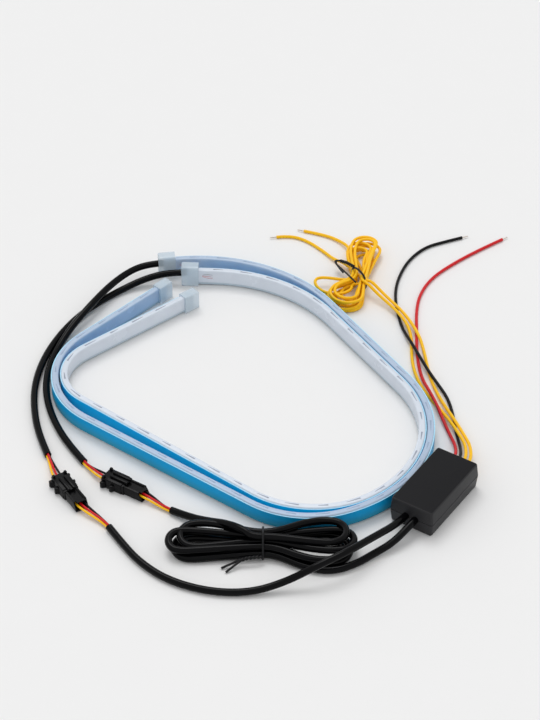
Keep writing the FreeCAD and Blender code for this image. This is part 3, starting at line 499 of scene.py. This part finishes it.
def tape(side):
    """Foam tape on the sleeve's back: blue film outside, pale edges above and below."""
    form, back = bmesh.new(), SLEEVE_THICK / 2
    start = walk(STRIPS[side][0], TAPE_INSET, 0)
    first = outline(form, start, back, back + TAPE_THICK, TAPE_LOW, TAPE_HIGH)
    last = draw_along(form, side, TAPE_INSET, first)
    bmesh.ops.edgeloop_fill(form, edges=first)
    bmesh.ops.edgeloop_fill(form, edges=last)
    form.normal_update()
    for face in form.faces:
        face.material_index = 1 if abs(face.normal.z) > TAPE_EDGE_SLOPE else 0
    return piece_of(side + "_film", form, [FILM[side], TAPE_EDGE], "blue_film", side + "_tape")


def cap(side, kind, pose, top):
    """Moulded cap whose mouth grips a strip's end; local x runs outwards from the mouth."""
    form = bmesh.new()
    corners = block(form, (0, -CAP_HALF, 0), (CAP_GRIP + CAP_END, CAP_HALF, top))
    # All edges but the mouth's own four
    rims = [edge for edge in edges_of(corners) if sum(corner.co.x for corner in edge.verts) > MM]
    soften(form, rims, CAP_ROUND)
    mouth = min(form.faces, key=lambda face: face.calc_center_median().x)
    bmesh.ops.inset_region(form, faces=[mouth], thickness=MOUTH_INSET * MM)
    half = SLEEVE_THICK / 2 + MOUTH_FIT
    middle = mouth.calc_center_median()
    for corner in mouth.verts:
        height = SLEEVE_HIGH + MOUTH_FIT if corner.co.z > middle.z else SLEEVE_LOW - MOUTH_FIT
        corner.co.y = math.copysign(half * MM, corner.co.y)
        corner.co.z = height * MM
    push(form, mouth, (CAP_GRIP, 0, 0))
    bmesh.ops.remove_doubles(form, verts=form.verts, dist=MERGE_WITHIN)
    stand(form, pose)
    return piece_of(f"{side}_{kind}_silicone", form, [CAP_SILICONE], "end_cap", f"{side}_{kind}")


def pose_at(side, run):
    """Pose on a strip's line at a run from its cable end, or at its free end if that comes first."""
    pose, line = STRIPS[side]
    for reach, turn in line:
        long = reach * math.radians(turn) if turn else reach
        if run < long:
            return walk(pose, reach, math.degrees(run / reach)) if turn else walk(pose, run, 0)
        pose, run = walk(pose, reach, turn), run - long
    return pose


def lamp_marks(side):
    """Soft dashes in the sleeve's upper edge, where the lamps and joints below it show through."""
    form = bmesh.new()
    run = FIRST_MARK
    while run < STRIP_LONG[side] - LAST_MARK:
        long = MARK_LONG + MARK_VARIES * math.sin(run)
        earlier = set(form.verts)
        mark = block(
            form, (-long / 2, MARK_NEAR, SLEEVE_HIGH - MARK_DEPTH),
            (long / 2, MARK_FAR, SLEEVE_HIGH + MARK_PROUD))
        for corner in mark:
            corner.co.y *= MARK_TAPER if corner.co.x > 0 else 1.0
        soften(form, edges_of(mark), MARK_ROUND, 1)
        stand(form, pose_at(side, run), [corner for corner in form.verts if corner not in earlier])
        run += LAMP_PITCH
    return piece_of(side + "_lamp_marks", form, [MARK[side]], "silicone")


for side in STRIPS:
    sleeve(side)
    tape(side)
    mouth_x, mouth_y, mouth_heading = walk(STRIPS[side][0], CAP_GRIP, 0)
    cap(side, "cable_cap", (mouth_x, mouth_y, mouth_heading + 180), CABLE_CAP_TOP)
    cap(side, "end_cap", walk(pose_at(side, STRIP_LONG[side]), -CAP_GRIP, 0), FREE_CAP_TOP)
    lamp_marks(side)


# Control box

def case_half(name, lift):
    """Drafted shell, widest at the seam: lift is 1 for the upper half and -1 for the lower one."""
    form = bmesh.new()
    seam = CASE_TALL / 2 + lift * SEAM_GAP / 2
    corners = [
        form.verts.new(Vector((x * CASE_LONG / 2, y * CASE_WIDE / 2, seam)) * MM)
        for x, y in ((-1, -1), (1, -1), (1, 1), (-1, 1))
    ]
    form.faces.new(corners)
    round_corners(form, corners, CASE_CORNER)
    rim = max(form.faces, key=lambda face: face.calc_area())
    rim_edges = list(rim.edges)
    made = bmesh.ops.extrude_face_region(form, geom=[rim], use_keep_orig=True)["geom"]
    lid, lid_corners = only(bmesh.types.BMFace, made)[0], only(bmesh.types.BMVert, made)
    rise = CASE_TALL / 2 - SEAM_GAP / 2
    bmesh.ops.translate(form, verts=lid_corners, vec=(0, 0, lift * rise * MM))
    draft = (1 - 2 * CASE_DRAFT / CASE_LONG, 1 - 2 * CASE_DRAFT / CASE_WIDE, 1)
    bmesh.ops.scale(form, verts=lid_corners, vec=draft)
    bmesh.ops.inset_region(form, faces=[rim], thickness=CASE_WALL * MM)
    inner_face = push(form, rim, (0, 0, lift * (rise - CASE_WALL)))
    bmesh.ops.scale(form, verts=inner_face.verts, vec=draft)
    soften(form, list(lid.edges), CASE_ROUND, 4)
    soften(form, rim_edges, SEAM_CHAMFER, 1)
    form.normal_update()
    # Faces that look up or down get the painted shade, the sides the painted light
    for face in form.faces:
        face.material_index = 1 if abs(face.normal.z) > LID_SLOPE else 0
    stand(form, CASE_POSE)
    return piece_of(f"{name}_shell", form, [CASE, CASE_LID_PAINTED_SHADE], "case", name)


case_half("case_top", 1)
case_half("case_bottom", -1)


# Plugs

def housing_block(form, low, high, rounding=HOUSING_ROUND):
    """Box with softened edges, added to a plug's form."""
    soften(form, edges_of(block(form, low, high)), rounding, 2)


def barb(form, side, start):
    """Hooked ear on a socket's side, slanted towards the other half."""
    near, far = sorted((side * (SOCKET_HALF - SUNK), side * (SOCKET_HALF + BARB_REACH)))
    corners = block(form, (start, near, BARB_LOW), (start + BARB_LONG, far, BARB_HIGH))
    for corner in corners:
        if abs(corner.co.y) > SOCKET_HALF * MM and corner.co.x > (start + BARB_LONG / 2) * MM:
            corner.co.x -= BARB_LONG * BARB_SLANT * MM
    soften(form, edges_of(corners), BARB_ROUND, 2)


def socket_half(number):
    """Lead's half: a block with a two-railed latch, hooked ears and keying posts."""
    form, foot = bmesh.new(), SOCKET_TALL - SUNK
    housing_block(
        form, (0, -SOCKET_HALF, 0), (SOCKET_LONG, SOCKET_HALF, SOCKET_TALL), SOCKET_ROUND)
    housing_block(
        form, (LATCH_START, -LATCH_HALF, foot),
        (SOCKET_LONG + LATCH_REACH, LATCH_HALF, SOCKET_TALL + LATCH_RISE))
    for side in (-1, 1):
        near, far = sorted((side * RAIL_INNER, side * LATCH_HALF))
        housing_block(
            form, (RAIL_START, near, foot), (SOCKET_LONG + RAIL_REACH, far, SOCKET_TALL + RAIL_RISE))
        near, far = sorted((side * POST_INNER, side * POST_OUTER))
        housing_block(
            form, (POST_START, near, foot), (POST_END, far, SOCKET_TALL + POST_RISE), POST_ROUND)
        for start in BARB_STARTS:
            barb(form, side, start)
    stand(form, SOCKETS[number])
    return piece_of(f"socket_{number}_housing", form, [HOUSING], "plug", f"socket_{number}")


def plug_half(number):
    """Control box's half: an open-backed body whose roof is cut back, behind a collar."""
    form = bmesh.new()
    start, end = SOCKET_LONG, SOCKET_LONG + PLUG_LONG
    corners = block(form, (start, -PLUG_HALF, PLUG_LOW), (end, PLUG_HALF, PLUG_HIGH))
    lengthwise = [
        edge for edge in edges_of(corners)
        if abs(edge.verts[0].co.x - edge.verts[1].co.x) > PLUG_LONG / 2 * MM
    ]
    soften(form, lengthwise, PLUG_ROUND, 2)
    roof = max(form.faces, key=lambda face: face.calc_center_median().z)
    bmesh.ops.inset_region(form, faces=[roof], thickness=ROOF_INSET * MM)
    push(form, roof, (0, 0, -ROOF_SINK))
    back = max(form.faces, key=lambda face: face.calc_center_median().x)
    bmesh.ops.inset_region(form, faces=[back], thickness=PLUG_WALL * MM)
    push(form, back, (-PLUG_HOLLOW, 0, 0))
    roof_low = PLUG_HIGH - 2 * PLUG_WALL
    for corner in form.verts:
        if corner.co.x > (end - END_ZONE) * MM and corner.co.z > roof_low * MM:
            corner.co.x -= ROOF_CUT * MM
    collar_half = PLUG_HALF + COLLAR_PROUD
    housing_block(
        form, (start - COLLAR_BEFORE, -collar_half, COLLAR_LOW),
        (start + COLLAR_AFTER, collar_half, PLUG_HIGH + COLLAR_RISE))
    stand(form, SOCKETS[number])
    return piece_of(f"plug_{number}_housing", form, [HOUSING], "plug", f"plug_{number}")


housings = {
    f"{kind}_{number}": make(number)
    for number in SOCKETS for kind, make in (("socket", socket_half), ("plug", plug_half))
}


# Strands and hanks

SECTION_STEPS = 4
ROUTE_STEPS = 8


def strand_curve(name, routes, thick, material, closed=False):
    """Round strands: for each route one smooth spline with its points as control points."""
    data = bpy.data.curves.new(name, "CURVE")
    data.dimensions = "3D"
    data.bevel_depth = thick * MM / 2
    data.bevel_resolution = SECTION_STEPS
    data.resolution_u = ROUTE_STEPS
    data.use_fill_caps = True
    for route in routes:
        spline = data.splines.new("NURBS")
        spline.points.add(len(route) - 1)
        for control, point in zip(spline.points, route):
            control.co = (*(Vector(point) * MM), 1.0)
        spline.order_u = 3
        spline.use_endpoint_u = not closed
        spline.use_cyclic_u = closed
    data.materials.append(material)
    strand = bpy.data.objects.new(name, data)
    bpy.context.collection.objects.link(strand)
    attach(strand, "root")
    return strand


# Where a hank's loop has opened: shares of its straight reach and of its fold's radius
LOOP_OPENS = 0.72
LOOP_WIDENS = 0.86
FOLD_ANGLES = (67.5, 22.5, -22.5, -67.5)  # of a polygon's corners round half a turn


def fold_points(side, reach, centre, radius, turn, heights):
    """Fold at the end of a hank's loop, as the corners of a polygon around its arc."""
    corner = radius / math.cos(math.pi / 8)
    points = []
    for step, angle in enumerate(FOLD_ANGLES):
        x = side * (reach - radius + corner * math.cos(math.radians(angle)))
        y = centre + turn * corner * math.sin(math.radians(angle))
        points.append((x, y, heights[0] + (heights[1] - heights[0]) * step / 3))
    return points


def hank_points(waist, heading, straight, passes, folds):
    """Passes through a hank's waist, with a fold after each but the last, in the part's frame."""
    local = []
    for number, (y, z) in enumerate(passes):
        side = folds[number][0] if number < len(folds) else -folds[-1][0]
        local += [(-side * straight, y, z), (side * straight, y, z)]
        if number < len(folds):
            side, reach, centre, radius, first, last = folds[number]
            next_y, next_z = passes[number + 1]
            turn = 1 if y > next_y else -1
            out = (reach - radius) * LOOP_OPENS
            wide = radius * LOOP_WIDENS
            local.append((side * out, centre + turn * wide, (z + 2 * first) / 3))
            local += fold_points(side, reach, centre, radius, turn, (first, last))
            local.append((side * out, centre - turn * wide, (next_z + 2 * last) / 3))
    turned = Matrix.Rotation(math.radians(heading), 3, "Z")
    return [tuple(turned @ Vector(point) + Vector((*waist, 0))) for point in local]


# Routes of the cords

OUTER_LEAD = [
    (-57.03, 110.73, 7.6), (-65.95, 109.52, 7.6), (-76, 103.5, 7.6), (-87, 90, 7.6),
    (-98, 70.5, 7.4), (-109, 52.5, 4.2), (-116.5, 32.5, 2.1), (-119.8, 11.5, 2.1),
    (-117.5, -9.5, 2.1), (-110.5, -30.5, 2.1), (-101.5, -47.5, 2.1), (-94.3, -58.5, 2.2),
]
INNER_LEAD = [
    (-43.08, 101.45, 7.6), (-52.07, 101.89, 7.6), (-66, 100, 5), (-79, 94, 2.1),
    (-93, 81.5, 2.1), (-105.5, 66.5, 2.1), (-115.5, 48, 2.1), (-122.5, 27.5, 2.1),
    (-125.8, 4.5, 2.1), (-124, -18.5, 2.1), (-119.5, -38.5, 2.1), (-114.2, -52.9, 2.2),
]
CABLE_1 = [
    (78.25, -104.54, 8), (73.3, -112.05, 8), (58, -128, 11.8), (45, -141, 14.4),
    (30, -149, 12.5), (14, -153.5, 5.5), (-4, -158, 2.1), (-25, -157.5, 2.1),
    (-46, -149.5, 2.1), (-61, -136.5, 2.1), (-71, -122, 2.1), (-78.6, -109.4, 2.2),
]
CABLE_2_FAR = [
    (-46.5, -96.5, 2.2), (-37, -102.5, 3), (-27, -109.5, 6.6), (-17, -116, 11), (-8, -122.5, 12.6),
]
CABLE_2_NEAR = [
    (24, -140, 2.1), (38, -142.5, 2.1), (50, -137, 2.1), (59.5, -129.5, 2.3), (69, -124, 4.4),
    (77.97, -115.13, 8), (82.93, -107.62, 8),
]
# The long cable's hank, from its plug's end: y and z of each pass through the waist, and for each
# fold its side, reach, middle, radius and the heights that it starts and ends at
BLACK_WAIST = (2, -125)
BLACK_STRAIGHT = 6
CABLE_2_PASSES = [
    (-1.2, 11.2), (2.9, 10.4), (0, 6.85), (4.1, 6.85), (-4.1, 6.85), (2.05, 3.3), (-2.05, 3.3),
    (6.15, 3.3), (-6.15, 3.3),
]
CABLE_2_FOLDS = [
    (1, 43, 3.8, 9.7, 11, 9), (-1, 43, 4.5, 8.6, 7.4, 6.3), (1, 47, 0, 9.5, 9.2, 6.3),
    (-1, 49, 0.5, 7.5, 7.3, 6.3), (1, 41, -4, 10, 6.3, 2.1), (-1, 43, 0, 6.6, 2.6, 2.1),
    (1, 45, -1, 11.5, 2.1, 2.1), (-1, 46, 0.5, 9.5, 2.1, 2.1),
]
CABLE_2_HANK = hank_points(BLACK_WAIST, 0, BLACK_STRAIGHT, CABLE_2_PASSES, CABLE_2_FOLDS)
CABLE_2 = (CABLE_2_FAR + CABLE_2_HANK + CABLE_2_NEAR)[::-1]
RED_WIRE = [
    (100.51, -67.7, 8), (105.46, -60.19, 8), (106, -46.5, 3.6), (103.4, -34, 1),
    (99.8, -21.5, 2.6), (97.4, -11.5, 3.4), (94, -0.5, 3.4), (91, 10.5, 1.6), (89.2, 23.5, 1),
    (88.8, 39.5, 1), (89.5, 55.5, 1), (90, 72.5, 1), (92.5, 88.5, 1), (100, 104.5, 1),
    (114, 119, 1), (131, 133, 1), (144.5, 142.7, 1),
]
BLACK_WIRE = [
    (103.01, -69.36, 8), (107.97, -61.84, 8), (108.6, -47.5, 3.6), (107.2, -34.5, 1),
    (106.6, -20.5, 1), (104.4, -4.5, 1), (99.5, 6.5, 1.8), (95, 15, 3.4), (91, 26.5, 3.4),
    (86, 41.5, 3.4), (82.8, 52.5, 1.6), (80.4, 62.5, 1), (78.8, 76.5, 1), (78.4, 90.5, 1),
    (81, 105.5, 1), (87.5, 122, 1), (98, 135, 1), (110.5, 140.5, 1), (120.5, 144.5, 1),
]
YELLOW_WIRE_1 = [
    (108.02, -72.66, 8), (112.97, -65.15, 8), (114, -50.5, 6), (111, -38.5, 4.2),
    (107.2, -26.5, 3.4), (102.6, -14, 2.6), (98.6, -0.5, 1), (95, 14.5, 1), (93.6, 29.5, 1),
    (92.2, 41, 1.8), (90.4, 48.5, 3.4), (86.6, 60, 3.4), (81.6, 71, 3.4), (75.5, 80, 3.8),
    (70, 86.8, 5.4), (64.6, 92.4, 8.4),
]
YELLOW_WIRE_2 = [
    (105.52, -71.01, 8), (110.47, -63.5, 8), (111.4, -49.5, 6), (108.6, -38.5, 4.2),
    (104.8, -27.5, 3.4), (101, -17.5, 1.8), (94.4, -4, 1), (89.2, 7.5, 1), (86.2, 21.5, 1),
    (85.6, 35.5, 1), (86.4, 47.5, 1.4), (84.6, 58, 3.2), (79.8, 69, 3.4), (73.6, 78.3, 3.6),
    (67.8, 84.8, 5.2), (62.4, 90.4, 8.2),
]
YELLOW_END_1 = [(53.2, 131.3, 3.2), (47.5, 140.5, 1.4), (38.5, 147.1, 1), (26, 151.1, 1)]
YELLOW_END_2 = [
    (49.6, 116.1, 3.7), (43.5, 122, 1.6), (36.5, 132, 1), (27, 141.9, 1), (17.6, 146.3, 1),
    (9.5, 145, 1),
]

# The yellow hank: its turns start at the top, and each turn has an upper and a lower fold
YELLOW_WAIST = (57.6, 99.4)
YELLOW_HEADING = 74
YELLOW_STRAIGHT = 4
YELLOW_TURNS = 4
TURN_TOP = 7.9  # height of the first turn
TURN_DROP = 1.85  # from turn to turn
PASS_DROP = 0.9  # within a turn
LAST_PASS = 1.9  # height of the last pass
WIRE_REST = 1.0  # height of a wire on the floor


def yellow_turns(column, upper, lower):
    """Turns of one yellow wire round its hank.

    Its passes lie a column's width off the waist's middle. A fold is its reach, middle and radius.
    """
    passes, folds = [], []
    for number in range(YELLOW_TURNS):
        height = TURN_TOP - TURN_DROP * number
        passes += [(-column, height), (column, height - PASS_DROP)]
        folds.append((1, *upper[number], height, height - PASS_DROP))
        folds.append((-1, *lower[number], height - PASS_DROP, max(WIRE_REST, height - TURN_DROP)))
    passes.append((-column, LAST_PASS))
    return hank_points(YELLOW_WAIST, YELLOW_HEADING, YELLOW_STRAIGHT, passes, folds)


YELLOW_1 = YELLOW_WIRE_1 + yellow_turns(
    4.0,
    [(37, 4.5, 7.6), (33, 6.5, 7.0), (36, 2.5, 8.2), (31, 5, 7.4)],
    [(26, 3, 10.0), (18, 13, 11.5), (28, 4.5, 10.8), (27, 2.5, 9.6)],
) + YELLOW_END_1
YELLOW_2 = YELLOW_WIRE_2 + yellow_turns(
    2.0,
    [(35, 3.5, 5.8), (28, 6.5, 5.6), (33, 4, 6.2), (27, 2.5, 5.6)],
    [(22, 3.5, 7.2), (25, 5.5, 8.4), (19, 1, 6.6), (22.5, 3, 7.0)],
) + YELLOW_END_2


# Cores, wire tips and ties

def core_route(number, way, route, depth):
    """One core from a cable's cut end into a plug, to a depth from the socket's wires."""
    before, end = Vector(route[-2]), Vector(route[-1])
    along = (end - before).normalized()
    aside = Vector((-along.y, along.x, 0)).normalized()
    inwards = 1 if depth < SOCKET_LONG else -1
    angle = math.radians(CORE_ANGLES[way])
    sideways = aside * (inwards * math.cos(angle)) + along.cross(aside) * math.sin(angle)
    shift = sideways * CORE_SPREAD
    across = (way - 1) * WAY_PITCH
    seat = at(SOCKETS[number], depth, across, SOCKET_TALL / 2) / MM
    mouth = at(SOCKETS[number], depth - inwards * CORE_ENTRY, across, SOCKET_TALL / 2) / MM
    return [end + shift, end + shift + along * CORE_RUN, mouth, seat]


def cores(name, number, route, depth):
    """Yellow, red and black cores of a cable, in the order of the plug's ways."""
    made = []
    for way, colour in enumerate(("yellow", "red", "black")):
        points = core_route(number, way, route, depth)
        core = strand_curve(f"{name}_{colour}_core", [points], CORE, COLOURS[colour])
        made.append(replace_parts(core, f"{name}_core_{colour}"))
    return made


def twisted(points, radius, pitch, phase, *ends):
    """Strand wound round a line of points, then led straight to its own end points."""
    places, run = [], 0.0
    for start, end in zip(map(Vector, points), map(Vector, points[1:])):
        along = (end - start).normalized()
        aside = along.cross(Vector((0, 0, 1))).normalized()
        steps = max(2, round((end - start).length / (pitch / TWIST_STEPS)))
        for step in range(steps):
            angle = math.radians(phase) + 2 * math.pi * run / pitch
            offset = aside * math.cos(angle) + aside.cross(along) * math.sin(angle)
            places.append(start.lerp(end, step / steps) + offset * radius)
            run += (end - start).length / steps
    return places + [Vector(end) for end in ends]


def wire_tip(name, route):
    """Three tinned strands at a wire's bare end, twisted together."""
    before, end = Vector(route[-2]), Vector(route[-1])
    along = (end - before).normalized()
    line = [end + along * place for place in TIP_PLACES]
    splay = Vector((-along.y, along.x, 0)) * TIP_SPLAY
    strands = []
    for number in range(3):
        strand_end = end + along * TIP_END + splay * (number - 1)
        strands.append(twisted(line, TIP_TWIST, TIP_PITCH, 120 * number, strand_end))
    tip = strand_curve(name, strands, TIP_STRAND, TIN)
    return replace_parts(tip, "wire_tips")


def black_tie():
    """Coated wire round the long cable's waist, its ends twisted into a tail."""
    x, y = BLACK_WAIST
    half_band = [(7.5, 0.65), (9.6, 3.5), (6.2, 10.2), (2.6, 14.6)]
    band = half_band + [(-aside, z) for aside, z in half_band[::-1]]
    ring_points = [(x, y + aside, z) for aside, z in band]
    ring = strand_curve("black_tie_band", [ring_points], TIE_BAND, TIE, closed=True)
    tail = [(2, -134, 4.2), (-1.5, -134.8, 4.8), (-5.5, -135.3, 4.6), (-10.5, -136.2, 3.4)]
    ends = strand_curve("black_tie_tail", [
        twisted(tail, *BLACK_TIE_TWIST, 0, (-12, -136.4, 3), (-19.5, -138.9, 0.8)),
        twisted(tail, *BLACK_TIE_TWIST, 180, (-11.6, -137.6, 2.8), (-17.1, -141.9, 0.8)),
    ], BLACK_TIE_TAIL, TIE)
    return [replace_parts(piece, "black_tie") for piece in (ring, ends)]


def yellow_tie():
    """Coated wire slung round the yellow wires' waist, twisted at its upper left."""
    x, y = YELLOW_WAIST
    turn = Matrix.Rotation(math.radians(YELLOW_TIE_HEADING), 3, "Z")
    oval = [(-6.6, 1.2), (0, 0.6), (6.6, 1.2), (7.6, 6), (4.6, 10.8), (-4.6, 10.8), (-7.6, 6)]
    ring = [turn @ Vector((aside, 0, z)) + Vector((x, y, 0)) for aside, z in oval]
    band = strand_curve("yellow_tie_band", [ring], TIE_BAND, TIE, closed=True)
    tail = [(54.6, 104, 10), (50.8, 109, 9), (46.6, 113.8, 7)]
    short_end = [(44.6, 115.4, 6), (44.4, 113.4, 4.6), (48.6, 107.4, 3)]
    long_end = [(43.8, 115, 6.4), (44.2, 112, 6), (49.5, 102.4, 7.6), (55.4, 91, 8.6)]
    twist = strand_curve("yellow_tie_twist", [
        twisted(tail, *YELLOW_TIE_TWIST, 0, *short_end),
        twisted(tail, *YELLOW_TIE_TWIST, 180, *long_end),
    ], YELLOW_TIE_TAIL, TIE)
    return [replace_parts(piece, "yellow_tie") for piece in (band, twist)]


# Cords

def cord_of(name, route, thick, material, nodes):
    """Free cord along a route, in place of its CAD nodes."""
    cord = strand_curve(name + "_cord", [route], thick, material)
    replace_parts(cord, *nodes)


def black_cable(name, route, nodes, pieces):
    """Jacketed three-core cable that ends at its half of a plug."""
    cord_of(name, route, CABLE, JACKET, nodes)


def thin_wire(name, route, colour, nodes, pieces):
    """Single wire with a bare tinned end."""
    cord_of(
        name, route, WIRE, COLOURS[colour], nodes)


black_cable(
    "outer_lead", OUTER_LEAD, ["outer_lead"],
    [housings["socket_2"], *cores("outer_lead", 2, OUTER_LEAD, CORE_DEPTH)])
black_cable(
    "inner_lead", INNER_LEAD, ["inner_lead"],
    [housings["socket_1"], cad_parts["contact_sockets"],
     *cores("inner_lead", 1, INNER_LEAD, CORE_DEPTH)])
black_cable(
    "cable_1", CABLE_1, ["cable_1"],
    [housings["plug_1"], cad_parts["contact_pins"], *cores("cable_1", 1, CABLE_1, PLUG_BACK)])
black_cable(
    "cable_2", CABLE_2, ["cable_2_near", "cable_2_hank", "cable_2_far"],
    [housings["plug_2"], *cores("cable_2", 2, CABLE_2, PLUG_BACK), *black_tie()])
thin_wire("red_wire", RED_WIRE, "red", ["red_wire"], [wire_tip("red_tip", RED_WIRE)])
thin_wire(
    "black_wire", BLACK_WIRE, "black", ["black_wire"], [wire_tip("black_tip", BLACK_WIRE)])
thin_wire(
    "yellow_wire_1", YELLOW_1, "yellow", ["yellow_wire_1", "yellow_end_1", "yellow_hank"],
    [wire_tip("yellow_tip_1", YELLOW_1), *yellow_tie()])
thin_wire(
    "yellow_wire_2", YELLOW_2, "yellow", ["yellow_wire_2", "yellow_end_2"],
    [wire_tip("yellow_tip_2", YELLOW_2)])


# Soldered wires inside the strips' cable ends

SOLDER_WIRES = (
    ("pink", PINK, "red_wire", 6.2), ("grey", GREY, "black_wire", 7.6),
    ("low_pink", PINK, "red_wire", 5.0),
)


def solder_wire(side, colour, material, height):
    """Short wire from a strip's lead towards its lamp board, set in the sleeve's light wall."""
    line = [
        (6, -0.6, 7.2), (7.5, -1.5, 7.0), (11, -1.6, height + 0.6), (15, -1.6, height),
        (17.5, -1.2, height),
    ]
    route = [at(STRIPS[side][0], *point) / MM for point in line]
    wire = strand_curve(f"{side}_{colour}_solder_wire", [route], SOLDER_WIRE, material)


for side in STRIPS:
    for colour, material, slot, height in SOLDER_WIRES:
        solder_wire(side, colour, material, height)


# Finishes of the pieces that keep their CAD form

def dress(material, *nodes):
    """Give CAD nodes one finish in place of their own."""
    for node in nodes:
        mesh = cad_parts[node].data
        mesh.materials.clear()
        mesh.materials.append(material)


dress(LAMP_BOARD, "outer_lamp_board", "inner_lamp_board")
dress(LAMP, "outer_leds", "inner_leds")
dress(CHIP, "outer_driver_chips", "inner_driver_chips", "control_chip", "power_switches")
dress(CIRCUIT, "circuit_board")
dress(METAL_CAN, "radio_receiver", "capacitor")
dress(BRASS, "contact_sockets", "contact_pins")

# Floor and light

FLOOR_HALF = 4.0  # metres
SKY_STRENGTH = 0.76
SUN_STRENGTH = 0.9
SUN_SPREAD = 30  # degrees
SUN_DIRECTION = Vector((0.12, -0.5, -1.0))

floor_form = bmesh.new()
bmesh.ops.create_grid(floor_form, x_segments=1, y_segments=1, size=FLOOR_HALF)
floor_mesh = bpy.data.meshes.new("floor")
floor_form.to_mesh(floor_mesh)
floor_form.free()
floor_mesh.materials.append(PAPER)
floor = bpy.data.objects.new("floor", floor_mesh)
bpy.context.collection.objects.link(floor)

scene = bpy.context.scene
scene.view_settings.view_transform = "Standard"
world = bpy.data.worlds.new("studio")
world.use_nodes = True
sky = world.node_tree.nodes["Background"]
sky.inputs["Color"].default_value = (1.0, 1.0, 1.0, 1.0)
sky.inputs["Strength"].default_value = SKY_STRENGTH
scene.world = world
lamp = bpy.data.lights.new("soft_sun", "SUN")
lamp.energy = SUN_STRENGTH
lamp.angle = math.radians(SUN_SPREAD)
soft_sun = bpy.data.objects.new("soft_sun", lamp)
soft_sun.rotation_euler = SUN_DIRECTION.to_track_quat("-Z", "Y").to_euler()
bpy.context.collection.objects.link(soft_sun)
